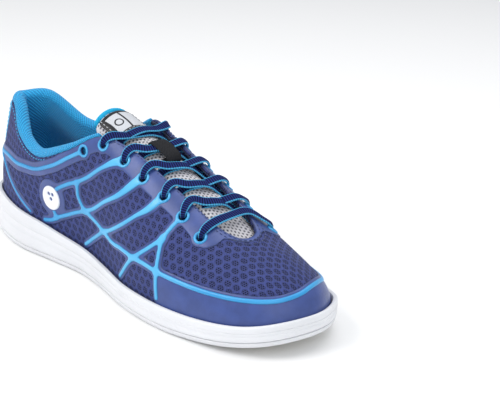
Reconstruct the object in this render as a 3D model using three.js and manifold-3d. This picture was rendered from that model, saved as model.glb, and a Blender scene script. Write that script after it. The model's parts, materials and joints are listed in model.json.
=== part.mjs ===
// Bowling shoe, left foot, women's EU 39: slide sole, cup sole, mesh upper with welded film, tongue, lace.
// Millimetres. +X toe, -Y arch (medial) side, +Z up, standing on z = 0.
import * as THREE from 'three';
import { ParametricGeometry } from 'three/addons/geometries/ParametricGeometry.js';
import { mergeVertices } from 'three/addons/utils/BufferGeometryUtils.js';
import Module from 'manifold-3d';

const wasm = await Module();
wasm.setup();

// ---------------------------------------------------------------- driving dimensions
const SOLE_LENGTH = 276;
const BALL_WIDTH = 98;
const COLLAR_HEIGHT = 89;
const TOE_SPRING = 10;
const GAP = 0.3;
const RIM = 3;
const UPPER_INSET = 4;
const TUCK = 6;
const MESH = 1.2;
const LINING = 0.6;
const FILM = 0.4;
const PRINT = 0.4;
const OUTSOLE = 3.2;
const PAD = 1.6;
const PAD_PROUD = 0.4;
const BOARD = 1.8;
const FOOTBED = 4;
const EYELET_R = 2.4;
const LACE_W = 6;
const LACE_H = 1.5;
const LACE_IN_HOLE = 2.6;
const COLLAR_ROLL = 4.4;
const PRINT_W = 3.6;
const EYE_PRINT = 7;
const TONGUE_HALF = 19;
const TONGUE_LAYERS = [1.1, 3.2, 0.8];
const TONGUE_X = [105, 230];
const TONGUE_FOLD = 131;
const COUNTER = 0.7;
const PUFF = 0.4;
const SLACK = 0.2;
const EMBLEM_R = 8;
const AGLET_LENGTH = 18;

const KX = SOLE_LENGTH / 276;
const KY = BALL_WIDTH / 98;
const KZ = COLLAR_HEIGHT / 89;

// One row per station round the shoe, heel centre first, arch side next:
// outline x y | top edge x y z | rise and lean at the sole | reach and drop below the top edge
const ROWS = [
  [0, 0, 8, 0, 89, 24, 2, 5, 22],
  [5, -17, 13, -9, 88.5, 24, 2, 4, 22],
  [22, -27, 22, -14, 86, 22, 2, 5, 20],
  [48, -33, 41, -24, 72, 18, 1, 4, 14],
  [78, -32, 66, -29.5, 66.5, 16, -1, 3, 14],
  [108, -31, 95, -29, 78, 22, -2, 4, 18],
  [135, -36, 120, -22.5, 91.5, 26, -1, 10, 14],
  [163, -43.5, 142, -16, 86.5, 26, 1, 14, 9],
  [192, -46.5, 167, -14, 76, 24, 2, 16, 8],
  [218, -44.5, 190, -13, 65.5, 22, 2, 16, 7],
  [243, -39.5, 208, -11.5, 57, 20, 1, 18, 6],
  [262, -28.5, 217, -7, 52.5, 19, 1, 24, 5],
  [273, -10.5, 220.5, -2, 51.5, 19, 1, 28, 5],
  [275, 8, 220.5, 3, 52, 19, 1, 27, 6],
  [264, 29, 217, 8, 53.5, 19, 0, 22, 9],
  [243, 42, 208, 11, 58.5, 19, 0, 18, 10],
  [215, 49, 190, 12.5, 68, 21, 0, 15, 10],
  [185, 51, 166, 13, 79, 23, 1, 15, 10],
  [150, 48, 140, 15, 89, 25, 1, 14, 10],
  [110, 41.5, 116, 23, 92, 26, 1, 10, 14],
  [70, 37, 87, 31, 76, 20, 0, 4, 16],
  [35, 34.5, 48, 27.5, 74, 20, 1, 4, 14],
  [10, 24, 23, 16, 90, 22, 2, 6, 20],
].map((r) => [
  r[0] * KX, r[1] * KY, r[2] * KX, r[3] * KY, r[4] * KZ, r[5] * KZ, r[6], r[7], r[8] * KZ,
]);
const N = ROWS.length;
const SOLE_TOP = [[0, 31], [60, 25], [110, 18], [160, 14.5], [210, 14.5], [245, 17], [275, 23]];
const TONGUE_LINE = [
  [105, 99.5], [120, 94.5], [142, 86], [166, 76], [190, 64.8], [208, 55.2], [220, 48.6], [230, 46.9],
];
const TONGUE_WIDTH = [[105, 0.8], [110, 0.9], [131, 0.92], [145, 1], [200, 1], [215, 0.85], [230, 0.7]];

// ---------------------------------------------------------------- surfaces
const clamp = (x, lo, hi) => Math.min(Math.max(x, lo), hi);
const mix = (a, b, f) => a + (b - a) * f;

function table(x, knots) {
  const n = knots.length;
  const xc = clamp(x, knots[0][0], knots[n - 1][0]);
  let i = 0;
  while (i < n - 2 && xc > knots[i + 1][0]) i += 1;
  const slope = (k) => (knots[k + 1][1] - knots[k][1]) / (knots[k + 1][0] - knots[k][0]);
  const tangent = (k) => {
    if (k === 0) return slope(0);
    if (k === n - 1) return slope(n - 2);
    const a = slope(k - 1);
    const b = slope(k);
    return a * b > 0 ? (2 * a * b) / (a + b) : 0;
  };
  const h = knots[i + 1][0] - knots[i][0];
  const f = (xc - knots[i][0]) / h;
  const a = tangent(i) * h;
  const b = tangent(i + 1) * h;
  const d = knots[i + 1][1] - knots[i][1];
  return knots[i][1] + f * (a + f * (3 * d - 2 * a - b + f * (a + b - 2 * d)));
}

const soleTop = (x) => table(x / KX, SOLE_TOP);
const soleLow = (x) => TOE_SPRING * Math.max(0, (x / KX - 195) / 80) ** 2;
const cupFloor = (x) => soleTop(x) - TUCK - GAP;

function row(t) {
  const w = ((t % N) + N) % N;
  const i = Math.floor(w);
  const f = w - i;
  const p = [N - 1, 0, 1, 2].map((k) => ROWS[(i + k) % N]);
  return ROWS[0].map((_, c) => 0.5 * (2 * p[1][c] + (p[2][c] - p[0][c]) * f
    + (2 * p[0][c] - 5 * p[1][c] + 4 * p[2][c] - p[3][c]) * f * f
    + (3 * p[1][c] - p[0][c] - 3 * p[2][c] + p[3][c]) * f * f * f));
}

function outward(t) {
  const a = row(t - 0.001);
  const b = row(t + 0.001);
  return new THREE.Vector3(b[1] - a[1], a[0] - b[0], 0).normalize();
}

// Point of the upper's outer face: t runs round the shoe, s from the sole (0) to the top edge (1).
function face(t, s) {
  const r = row(t);
  const out = outward(t);
  const low = new THREE.Vector3(r[0], r[1], soleTop(r[0]) - TUCK).addScaledVector(out, -UPPER_INSET);
  const top = new THREE.Vector3(r[2], r[3], r[4]);
  const a = low.clone().addScaledVector(out, r[6]);
  a.z += r[5];
  const plan = new THREE.Vector3(r[0] - r[2], r[1] - r[3], 0).normalize();
  const b = top.clone().addScaledVector(plan, r[7]);
  b.z -= r[8];
  const q = 1 - s;
  return low.multiplyScalar(q * q * q).addScaledVector(a, 3 * s * q * q)
    .addScaledVector(b, 3 * s * s * q).addScaledVector(top, s * s * s);
}

function along(t, s) {
  return face(t, s + 0.002).sub(face(t, s - 0.002)).normalize();
}

function normal(t, s) {
  const across = face(t + 0.002, s).sub(face(t - 0.002, s));
  return across.cross(along(t, s)).normalize();
}

function upper(t, s, off) {
  return face(t, s).addScaledVector(normal(t, s), off);
}

// Height of the tongue's front face over the plan.
function tongueTop(x, y) {
  const c = y / KY;
  return table(x / KX, TONGUE_LINE) * KZ - 0.029 * c * c - 0.00002 * c ** 4;
}

function tonguePoint(x, y, off) {
  const dx = tongueTop(x + 0.1, y) - tongueTop(x - 0.1, y);
  const dy = tongueTop(x, y + 0.1) - tongueTop(x, y - 0.1);
  const n = new THREE.Vector3(-dx / 0.2, -dy / 0.2, 1).normalize();
  return new THREE.Vector3(x, y, tongueTop(x, y)).addScaledVector(n, off);
}

// ---------------------------------------------------------------- solids
function solid(geometry) {
  geometry.deleteAttribute('normal');
  geometry.deleteAttribute('uv');
  const merged = mergeVertices(geometry, 1e-4);
  const tri = [];
  const ix = merged.index.array;
  for (let i = 0; i < ix.length; i += 3) {
    const [a, b, c] = [ix[i], ix[i + 1], ix[i + 2]];
    if (a !== b && b !== c && c !== a) tri.push(a, b, c);
  }
  const build = (order) => new wasm.Manifold(new wasm.Mesh({
    numProp: 3,
    vertProperties: new Float32Array(merged.attributes.position.array),
    triVerts: new Uint32Array(order),
  }));
  const body = build(tri);
  if (body.volume() > 0) return body;
  const flipped = [];
  for (let i = 0; i < tri.length; i += 3) flipped.push(tri[i], tri[i + 2], tri[i + 1]);
  return build(flipped);
}

// Closed body from rings of points; the first and last ring close on their own middle line.
function loft(rings, count, point) {
  return solid(new ParametricGeometry((u, v, target) => {
    const i = Math.round(u * (rings + 1));
    const j = Math.round(v * count) % count;
    const k = clamp(i - 1, 0, rings - 1);
    const p = point(k, j);
    if (i === 0 || i === rings + 1) p.add(point(k, count - 1 - j)).multiplyScalar(0.5);
    target.copy(p);
  }, rings + 1, count));
}

// Sheet lying on the upper between two lines of s, from one depth to another.
function shell(o) {
  const count = 2 * o.ns + 2;
  return loft(o.nt + 1, count, (i, j) => {
    const t = mix(o.t0, o.t1, i / o.nt);
    const k = j <= o.ns ? j : count - 1 - j;
    const s = mix(o.lo(t), o.hi(t), k / o.ns);
    return upper(t, s, j <= o.ns ? o.outer(t, s) : o.inner(t, s));
  });
}

// Flat strip on the upper along a curve through a few (t, s) points.
function ribbon(points, width, inner, outer, steps) {
  const curve = new THREE.SplineCurve(points.map((p) => new THREE.Vector2(p[0], p[1])));
  return loft(steps + 1, 4, (i, j) => {
    const u = i / steps;
    const p = curve.getPoint(u);
    const a = curve.getPoint(Math.max(0, u - 0.01));
    const b = curve.getPoint(Math.min(1, u + 0.01));
    const dir = face(b.x, b.y).sub(face(a.x, a.y));
    const n = normal(p.x, p.y);
    const side = n.clone().cross(dir).normalize();
    const k = j === 0 || j === 3 ? -0.5 : 0.5;
    const w = typeof width === 'function' ? width(u) : width;
    return face(p.x, p.y).addScaledVector(side, k * w).addScaledVector(n, j < 2 ? outer : inner);
  });
}

// Closed round patch on the upper, radius in mm.
function disc(t, s, r, inner, outer, sides) {
  const c = face(t, s);
  const n = normal(t, s);
  const g = new THREE.CylinderGeometry(r, r, outer - inner, sides, 1);
  g.rotateX(Math.PI / 2);
  g.translate(0, 0, (outer + inner) / 2);
  g.applyQuaternion(new THREE.Quaternion().setFromUnitVectors(new THREE.Vector3(0, 0, 1), n));
  g.translate(c.x, c.y, c.z);
  return solid(g);
}

const hole = (t, s, r) => disc(t, s, r, -7, 4, 7);

// Outline of the sole moved inwards, as y at a given x on either side.
function planEdge(inset) {
  const pts = [];
  for (let i = 0; i < 460; i += 1) {
    const t = (i * N) / 460;
    const r = row(t);
    const n = outward(t);
    pts.push([r[0] - n.x * inset, r[1] - n.y * inset]);
  }
  const xs = pts.map((p) => p[0]);
  const x0 = Math.min(...xs);
  const x1 = Math.max(...xs);
  const side = (x, sign) => {
    let best = 0;
    for (let i = 0; i < pts.length; i += 1) {
      const a = pts[i];
      const b = pts[(i + 1) % pts.length];
      if ((a[0] - x) * (b[0] - x) <= 0 && a[0] !== b[0]) {
        const y = mix(a[1], b[1], (x - a[0]) / (b[0] - a[0]));
        if (best === 0 || sign * y > sign * best) best = y;
      }
    }
    return best;
  };
  return { x0, x1, side };
}

// Body over the sole's plan, built from layers { inset, z(x) } stacked upwards.
function slab(layers, nx, ny) {
  const edges = layers.map((l) => planEdge(l.inset));
  const last = layers.length - 1;
  const ring = [];
  for (let k = 0; k <= ny; k += 1) ring.push([0, k / ny]);
  for (let l = 1; l < last; l += 1) ring.push([l, 1]);
  for (let k = ny; k >= 0; k -= 1) ring.push([last, k / ny]);
  for (let l = last - 1; l > 0; l -= 1) ring.push([l, 0]);
  const count = ring.length;
  const cache = new Map();
  const span = (i, l) => {
    const key = i * 100 + l;
    if (!cache.has(key)) {
      const e = edges[l];
      const x = mix(e.x0 + 0.02, e.x1 - 0.02, (1 - Math.cos((Math.PI * i) / nx)) / 2);
      const y0 = e.side(x, -1);
      const y1 = e.side(x, 1);
      const end = i === 0 || i === nx;
      cache.set(key, [x, end ? (y0 + y1) / 2 : y0, end ? (y0 + y1) / 2 : y1]);
    }
    return cache.get(key);
  };
  return solid(new ParametricGeometry((u, v, target) => {
    const i = Math.round(u * nx);
    const [l, g] = ring[Math.round(v * count) % count];
    const [x, y0, y1] = span(i, l);
    target.set(x, mix(y0, y1, g), layers[l].z(x));
  }, nx, count));
}

const flat = (value) => () => value;
const join = (parts) => parts.reduce((a, b) => a.add(b));

// ---------------------------------------------------------------- the shoe's bottom
const wallLow = (x) => soleLow(x) + PAD_PROUD + OUTSOLE + GAP;
const wall = (f) => (x) => mix(wallLow(x), soleTop(x), f);
const under = (h) => (x) => soleLow(x) + h;

const padOutline = (x0, x1, inset, h0, h1) => slab([
  { inset, z: under(h0) },
  { inset, z: under(h1) },
], 26, 2).trimByPlane([1, 0, 0], x0 * KX).trimByPlane([-1, 0, 0], -x1 * KX);

const SLIDE = [128, 268];
const HEEL = [6, 96];
const slidePad = padOutline(SLIDE[0], SLIDE[1], 5, 0, PAD);
const heelPad = padOutline(HEEL[0], HEEL[1], 5, 0, PAD);
const outsole = slab([
  { inset: 1.8, z: under(PAD_PROUD) },
  { inset: 0.7, z: under(PAD_PROUD + 1) },
  { inset: 0.4, z: under(PAD_PROUD + OUTSOLE) },
], 26, 2)
  .subtract(padOutline(SLIDE[0] - GAP, SLIDE[1] + GAP, 5 - GAP, -1, PAD + GAP))
  .subtract(padOutline(HEEL[0] - GAP, HEEL[1] + GAP, 5 - GAP, -1, PAD + GAP));

const midsole = slab([
  { inset: 0.6, z: wall(0) },
  { inset: 0, z: wall(0.12) },
  { inset: 0, z: wall(0.52) },
  { inset: 0.8, z: wall(0.59) },
  { inset: 0, z: wall(0.66) },
  { inset: 0, z: wall(0.94) },
  { inset: 0.8, z: wall(1) },
], 28, 2).subtract(slab([
  { inset: RIM, z: cupFloor },
  { inset: RIM, z: (x) => soleTop(x) + 5 },
], 28, 2));

const SHANK = [62, 150, 7];
const shankBox = (grow, low, high) => slab([
  { inset: 10, z: (x) => cupFloor(x) - low },
  { inset: 10, z: (x) => cupFloor(x) - high },
], 26, 2)
  .trimByPlane([1, 0, 0], SHANK[0] * KX - grow)
  .trimByPlane([-1, 0, 0], -SHANK[1] * KX - grow)
  .trimByPlane([0, 1, 0], -SHANK[2] * KY + 2 - grow)
  .trimByPlane([0, -1, 0], -SHANK[2] * KY - 2 - grow);
const shank = shankBox(0, 1.8, 0.2);

const boardZ = (h) => (x) => cupFloor(x) + h;
const insoleBoard = slab([
  { inset: 8.2, z: boardZ(GAP) },
  { inset: 8.2, z: boardZ(GAP + BOARD) },
], 26, 2);
const footbed = slab([
  { inset: 9.6, z: boardZ(2 * GAP + BOARD) },
  { inset: 9.6, z: boardZ(2 * GAP + BOARD + FOOTBED) },
], 26, 2);

// ---------------------------------------------------------------- eyelets, arch side and outer side
const EYE_M = [[9.29, 0.71], [8.69, 0.77], [8.06, 0.8], [7.39, 0.8], [6.77, 0.83], [6.09, 0.9], [5.49, 0.9]];
const EYE_L = [
  [15.15, 0.71], [15.9, 0.77], [16.55, 0.8], [17.2, 0.8], [17.85, 0.83], [18.6, 0.9], [19.15, 0.9],
];
const holes = join([...EYE_M, ...EYE_L].map((e) => hole(e[0], e[1], EYELET_R)));

// Height on the upper just clear of the sole's rim.
function rim(t) {
  let s = 0.05;
  while (s < 0.5 && face(t, s).z < soleTop(face(t, s).x) + 0.9) s += 0.005;
  return s;
}

const smooth = (x) => clamp(x, 0, 1) ** 2 * (3 - 2 * clamp(x, 0, 1));

// ---------------------------------------------------------------- mesh upper and what stiffens it
const VAMP = [8.15, 16.45];
const SEAM = 0.012;
const meshShell = (t0, t1, nt) => shell({
  t0, t1, nt, ns: 6, lo: flat(0), hi: flat(0.985), outer: flat(0), inner: flat(-MESH),
}).subtract(holes);
const vamp = meshShell(VAMP[0] + SEAM, VAMP[1] - SEAM, 30);
const quarterM = meshShell(0.02, VAMP[0] - SEAM, 24);
const quarterL = meshShell(VAMP[1] + SEAM, N - 0.02, 24);

const counterTop = (t) => 0.6 - 0.05 * Math.abs(t);
const heelCounter = shell({
  t0: -2.3, t1: 2.9, nt: 18, ns: 4, lo: flat(0.03), hi: counterTop,
  outer: flat(-MESH - GAP), inner: flat(-MESH - GAP - COUNTER),
});
const toePuff = shell({
  t0: 9.4, t1: 16, nt: 20, ns: 3, lo: flat(0.03), hi: flat(0.36),
  outer: flat(-MESH - GAP - SLACK), inner: flat(-MESH - GAP - SLACK - PUFF),
});
const liningDepth = (t, s) => mix(
  MESH + 2 * GAP + 2 * SLACK + PUFF,
  MESH + GAP + SLACK,
  smooth((s - 0.45) / 0.2),
);
const vampLining = shell({
  t0: 5.95, t1: 19.05, nt: 36, ns: 5, lo: flat(0.03), hi: flat(0.985),
  outer: (t, s) => -liningDepth(t, s), inner: (t, s) => -liningDepth(t, s) - LINING,
}).subtract(holes);

// ---------------------------------------------------------------- padded collar
const COLLAR = [-3.93, 5.93];
const rollRadius = (t) => mix(2, COLLAR_ROLL, smooth(Math.min(t - COLLAR[0], COLLAR[1] - t) / 1.8));
const collarDepth = (t, s) => mix(
  MESH + COUNTER + 2 * GAP + LINING + 0.1,
  mix(4, 2 * rollRadius(t), smooth((s - 0.45) / 0.4)),
  smooth((s - 0.1) / 0.3),
);
function rollPoint(t, angle, cut) {
  const r = rollRadius(t);
  return upper(t, 1, -r).addScaledVector(normal(t, 1), (r - cut) * Math.cos(angle))
    .addScaledVector(along(t, 1), (r - cut) * Math.sin(angle));
}
const LINING_LINE = [0.03, 0.2, 0.4, 0.6, 0.8];
function liningPoint(t, k, cut) {
  if (k < LINING_LINE.length) return upper(t, LINING_LINE[k], -collarDepth(t, LINING_LINE[k]) + cut);
  return rollPoint(t, Math.PI * (1 - (k - LINING_LINE.length) / 5), cut);
}
const LINING_COUNT = 2 * (LINING_LINE.length + 6);
const collarLining = loft(31, LINING_COUNT, (i, j) => {
  const t = mix(COLLAR[0], COLLAR[1], i / 30);
  const hidden = j < LINING_COUNT / 2;
  return liningPoint(t, hidden ? j : LINING_COUNT - 1 - j, hidden ? LINING : 0);
});
const FOAM_LINE = [0.4, 0.6, 0.8];
const FOAM_CUT = LINING + GAP + SLACK;
const collarFoam = loft(27, 12, (i, j) => {
  const t = mix(COLLAR[0], COLLAR[1], (i + 2) / 30);
  if (j < 3) return upper(t, FOAM_LINE[j], -MESH - COUNTER - 2 * GAP);
  if (j === 3) return upper(t, 0.93, -MESH - COUNTER - 2 * GAP);
  if (j < 9) return rollPoint(t, Math.PI * (0.28 + 0.16 * (j - 4)), FOAM_CUT);
  return upper(t, FOAM_LINE[11 - j], -collarDepth(t, FOAM_LINE[11 - j]) + FOAM_CUT);
});

// ---------------------------------------------------------------- welded film and printed lines
// Arch-side position to outer-side position round the shoe.
const ACROSS = [
  [-1, 24], [0, 23], [1.1, 22.25], [2, 21.5], [3, 20.8], [3.77, 20.25], [4.2, 20], [5.19, 19.35],
  [5.49, 19.15], [6.09, 18.6],
  [6.77, 17.85], [7.39, 17.2], [8.06, 16.55], [8.69, 15.9], [9.29, 15.15], [9.94, 14.6], [12.6, 12.6],
];
function outerSide(t) {
  let i = 0;
  while (i < ACROSS.length - 2 && t > ACROSS[i + 1][0]) i += 1;
  const [a, b] = [ACROSS[i], ACROSS[i + 1]];
  return mix(a[1], b[1], (t - a[0]) / (b[0] - a[0]));
}
const toOuter = (line) => line.map(([t, s]) => [outerSide(t), s]);

const foot = (t) => [t, rim(t) + 0.02];
const WEB = [
  { steps: 8, eye: 1, at: [
    [6.77, 0.83], [6.45, 0.78], [6.05, 0.72], [5.6, 0.68],
    [5.2, 0.67], [4.85, 0.66], [4.5, 0.62], [4.25, 0.55],
  ] },
  { steps: 3, eye: 0, at: [[5.14, 0.66], [5.08, 0.54], [5.19, 0.42]] },
  { steps: 3, eye: 0, at: [[4.18, 0.45], [4.18, 0.36], [4.2, 0.28]] },
  { steps: 11, eye: 1, at: [
    [7.39, 0.8], [7, 0.67], [6.57, 0.57], [6, 0.49], [5.56, 0.44], [5.19, 0.42], [4.79, 0.38], [4.33, 0.3],
    [4.05, 0.22], foot(3.8),
  ] },
  { steps: 7, eye: 0, at: [
    [5.19, 0.42], [5.5, 0.36], [5.92, 0.3], [6.29, 0.27],
    [6.74, 0.28], [7.24, 0.28], [7.62, 0.29], [8.01, 0.29],
  ] },
  { steps: 10, eye: 1, at: [
    [8.06, 0.8], [7.68, 0.64], [7.32, 0.54], [6.87, 0.44], [6.26, 0.34], [5.92, 0.3], [5.41, 0.21],
    foot(5.08),
  ] },
  { steps: 3, eye: 1, at: [[8.69, 0.77], [8.39, 0.63], [8.15, 0.52]] },
  { steps: 5, eye: 0, at: [[8.15, 0.52], [7.91, 0.45], [7.61, 0.37], [7.24, 0.28], [7, 0.21], foot(6.7)] },
  { steps: 5, eye: 0, at: [[8.15, 0.52], [8.08, 0.44], [8.03, 0.35], [8, 0.29], [8, 0.2], foot(8.02)] },
];
const COLLAR_LINES = [
  { steps: 9, eye: 1, at: [
    [5.49, 0.9], [5.09, 0.91], [4.63, 0.88], [4.16, 0.85], [3.54, 0.75], [2.8, 0.61], [2, 0.51], [1.1, 0.46],
  ] },
  { steps: 4, eye: 0, at: [[1.5, 0.47], [2.2, 0.38], [2.9, 0.25], foot(3.35)] },
];
const TOE_LINE = [
  [8.19, 0.3], [9.28, 0.31], [9.94, 0.32], [10.5, 0.32], [11, 0.31], [11.55, 0.3], [12.2, 0.32], [12.8, 0.35],
  [13.4, 0.34], [14, 0.3], [14.6, 0.3], [15.5, 0.3], [16.37, 0.3],
];
const EMBLEM_AT = [4.2, 0.5];
const PRINT_LOW = FILM + 2 * GAP + SLACK;

function drawn(set, side) {
  return join(set.map((l) => ribbon(
    side(l.at),
    (u) => (l.eye ? mix(EYE_PRINT, PRINT_W, smooth(u * 4)) : PRINT_W),
    PRINT_LOW,
    PRINT_LOW + PRINT,
    l.steps,
  )));
}

// Film band that carries the eyelets, down from the top edge.
const BAND = [
  [4.95, 0.93], [5.3, 0.85], [6.09, 0.83], [6.77, 0.76], [7.39, 0.73], [8.06, 0.72], [8.69, 0.7],
  [9.29, 0.63], [9.8, 0.68], [10.3, 0.92],
];
const bandLow = (t) => table(t, BAND);
const bandBody = (side) => loft(19, 10, (i, j) => {
  const t = mix(5, 10.3, i / 18);
  const k = j < 5 ? j : 9 - j;
  const s = mix(bandLow(t), 0.985, k / 4);
  return upper(side([[t, 0]])[0][0], s, GAP + SLACK / 2 + (j < 5 ? FILM : 0));
});
const same = (line) => line;
const at = (side, p) => side([p])[0];
const emblemDisc = (side, r, low, high) => {
  const [t, s] = at(side, EMBLEM_AT);
  return disc(t, s, r, low, high, 16);
};
const TOE_EDGE = [
  [8, 0.34], [9.3, 0.35], [11, 0.345], [12, 0.345], [12.8, 0.385], [13.5, 0.37], [14.2, 0.335], [16.6, 0.34],
];
const toeCapBody = shell({
  t0: VAMP[0] + 0.02, t1: VAMP[1] - 0.02, nt: 32, ns: 3, lo: rim, hi: (t) => toeEdge(t),
  outer: flat(GAP + FILM), inner: flat(GAP),
});
function toeEdge(t) {
  return table(t, TOE_EDGE);
}
const toeKeep = (t0, t1) => shell({
  t0, t1, nt: 30, ns: 2, lo: flat(0), hi: (t) => toeEdge(t) + 0.006, outer: flat(4), inner: flat(-0.5),
});
const toeStripe = ribbon(TOE_LINE, PRINT_W, PRINT_LOW, PRINT_LOW + PRINT, 36);
const toeStripeRoom = [[8.16, 0.3], ...TOE_LINE.slice(1, -1), [16.4, 0.3]];
const toeStripeKeep = ribbon(toeStripeRoom, PRINT_W + 2 * GAP, 0.1, 3, 36);
const toeRegion = toeKeep(VAMP[0] - 0.01, VAMP[1] + 0.01);

const eyestay = (side) => bandBody(side).subtract(toeRegion).subtract(holes);
const web = (side) => drawn(WEB, side)
  .subtract(emblemDisc(side, EMBLEM_R + GAP, -1, 4)).subtract(toeStripeKeep).subtract(holes);
const collarStripe = (side) => drawn(COLLAR_LINES, side).subtract(holes);
const ring = (e) => disc(e[0], e[1], 4.3, PRINT_LOW, PRINT_LOW + PRINT, 12)
  .subtract(hole(e[0], e[1], EYELET_R));
const emblem = (side) => {
  const [t, s] = at(side, EMBLEM_AT);
  const finger = (dt, ds) => disc(t + dt, s + ds, 1.3, -1, 4, 7);
  return emblemDisc(side, EMBLEM_R, PRINT_LOW, PRINT_LOW + PRINT)
    .subtract(finger(-0.08, 0.045)).subtract(finger(0.08, 0.045)).subtract(finger(0, -0.01));
};
const heelPatch = shell({
  t0: -0.6, t1: 0.85, nt: 7, ns: 5, lo: flat(0.4), hi: flat(0.97), outer: flat(0.9), inner: flat(GAP),
});

// ---------------------------------------------------------------- tongue
const tongueHalf = (x) => TONGUE_HALF * KY * table(x / KX, TONGUE_WIDTH);
function tongueSheet(x0, x1, nx, ny, half, high, low) {
  const count = 2 * (ny + 1);
  return loft(nx + 1, count, (i, j) => {
    const x = mix(x0, x1, i / nx) * KX;
    const k = j <= ny ? j : count - 1 - j;
    return tonguePoint(x, half(x) * ((2 * k) / ny - 1), j <= ny ? high : low);
  });
}
const [faceT, foamT, backT] = TONGUE_LAYERS;
const ply = GAP + SLACK / 2;
const depths = [0, faceT, faceT + ply, faceT + ply + foamT, faceT + foamT + 2 * ply];
const TONGUE_THICK = depths[4] + backT;
const lowTongue = (high, low) => tongueSheet(TONGUE_FOLD + 0.4, TONGUE_X[1], 9, 6, tongueHalf, high, low);
const tongueFace = lowTongue(0, -depths[1]);
const tongueFoam = lowTongue(-depths[2], -depths[3]);
const tongueBack = lowTongue(-depths[4], -TONGUE_THICK);
const tongueTopPad = tongueSheet(TONGUE_X[0], TONGUE_FOLD - 0.4, 5, 6, tongueHalf, 0, -TONGUE_THICK);
const tongueLabel = tongueSheet(TONGUE_X[0] + 2.5, TONGUE_FOLD - 5.5, 4, 6, flat(11.5 * KY), GAP + 0.8, GAP);
const tongueBinding = loft(11, 8, (i, j) => {
  const y = tongueHalf(TONGUE_X[0] * KX) * mix(-1, 1, i / 10);
  const angle = (j * Math.PI) / 4 + Math.PI / 8;
  const x = TONGUE_X[0] * KX - GAP - 2.8 + 2.6 * Math.cos(angle);
  return tonguePoint(x, y, -TONGUE_THICK / 2 + 3.2 * Math.sin(angle));
});
const KEEPER = [141, 159.5, 4, 5.4];
const keeperBlock = (cut, low, high, wide) => tongueSheet(
  KEEPER[0] + cut,
  KEEPER[1] - cut,
  4,
  2,
  flat(wide),
  high,
  low,
);
const laceKeeper = keeperBlock(0, GAP, KEEPER[3] + 1, KEEPER[2])
  .subtract(keeperBlock(1, -1, KEEPER[3], KEEPER[2] + 2));

// ---------------------------------------------------------------- lace
// Each stop is a place, the way its flat side faces, its width and its height.
const stop = (place, way, w = LACE_W, h = LACE_H) => ({ place, way, w, h });
const ABOVE = PRINT_LOW + PRINT + GAP + LACE_H / 2 + 0.3;
const BELOW = MESH + GAP + SLACK + LINING + 0.9 + LACE_H / 2;
const OVER_TONGUE = GAP + 0.5 + LACE_H / 2;
const CROSSED = OVER_TONGUE + LACE_H + 0.45;
const eyeletM = (k) => EYE_M[6 - k];
const eyeletL = (k) => EYE_L[6 - k];

function throughHole(e, sign) {
  const [t, s] = e;
  const m = along(t, s).multiplyScalar(-sign);
  return [
    stop(upper(t, s, ABOVE), m, LACE_IN_HOLE * 1.1, LACE_IN_HOLE * 0.7),
    stop(upper(t, s, -0.6), m, LACE_IN_HOLE, LACE_IN_HOLE * 0.8),
    stop(upper(t, s, -BELOW * 0.9), m, LACE_IN_HOLE, LACE_IN_HOLE * 0.8),
  ];
}

// From under one flap, over the tongue and onto the other flap, down to eyelet b.
function crossing(a, next, b, previous, height, sign) {
  const te = mix(a[0], next[0], 0.42);
  const tb = mix(previous[0], b[0], 0.66);
  const from = upper(te, 1, -BELOW);
  const to = upper(tb, 1, ABOVE);
  const lean = (f, h) => {
    const p = from.clone().lerp(to, f);
    return tonguePoint(p.x, p.y, h);
  };
  const up = (f) => {
    const p = from.clone().lerp(to, f);
    return tonguePoint(p.x, p.y, 1).sub(tonguePoint(p.x, p.y, 0)).multiplyScalar(sign);
  };
  const stay = 0.72;
  return [
    stop(
      upper(mix(a[0], te, 0.6), mix(a[1], 1, 0.45), -BELOW),
      normal(te, 0.95).multiplyScalar(sign), 4, 1.6,
    ),
    stop(from, normal(te, 1).multiplyScalar(sign)),
    stop(lean(1 - stay, height), up(1 - stay)),
    stop(lean(0.5, height), up(0.5)),
    stop(lean(stay, height), up(stay)),
    stop(upper(tb, 1, ABOVE - 0.2).addScaledVector(along(tb, 1), 3.5), up(0.9)),
    stop(to, normal(tb, 1).multiplyScalar(sign)),
    stop(
      upper(mix(tb, b[0], 0.6), mix(1, b[1], 0.5), ABOVE),
      normal(b[0], b[1]).multiplyScalar(sign),
      LACE_W * 0.85,
    ),
  ];
}

// One end of the lace: zigzag from the sixth eyelet to the first, then down inside the shoe.
function chain(first, second, heights) {
  const seq = [6, 5, 4, 3, 2, 1];
  const pick = (k, same) => ((same ? 6 - k : 5 - k) % 2 === 0 ? first(k) : second(k));
  let sign = 1;
  let stops = throughHole(pick(6, true), sign);
  for (let i = 0; i < 5; i += 1) {
    const k = seq[i];
    sign = -sign;
    const a = pick(k, true);
    const b = pick(k - 1, true);
    stops = stops.concat(
      crossing(a, pick(k - 1, false), b, pick(k, false), heights[i], sign),
      throughHole(b, sign),
    );
  }
  const [t, s] = pick(1, true);
  const ahead = t < 12 ? 1 : -1;
  const inside = (dt, to, d) => upper(t + ahead * dt, to, -d);
  const way = normal(t, s).multiplyScalar(-sign);
  stops.push(stop(inside(0.25, s - 0.1, BELOW + 0.2), way, 3, 1.8));
  stops.push(stop(inside(0.4, s - 0.2, BELOW + 0.5), way, 3, 1.8));
  stops.push(stop(inside(0.5, s - 0.32, BELOW + 0.9), way, 2.2, 2));
  return stops;
}

// The lowest stretch runs straight across the throat, over both flaps.
const BAR = [[9.5, 0.83], [9.85, 0.99], [15.05, 0.99], [15.1, 0.83]];
function bar() {
  const [m, n, k, l] = BAR.map(([t, s]) => stop(upper(t, s, ABOVE), normal(t, s)));
  const mid = n.place.clone().lerp(k.place, 0.5);
  mid.z = Math.max(mid.z, tongueTop(mid.x, mid.y) + CROSSED);
  return [m, n, stop(mid, new THREE.Vector3(0.3, 0, 1)), k, l];
}

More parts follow.
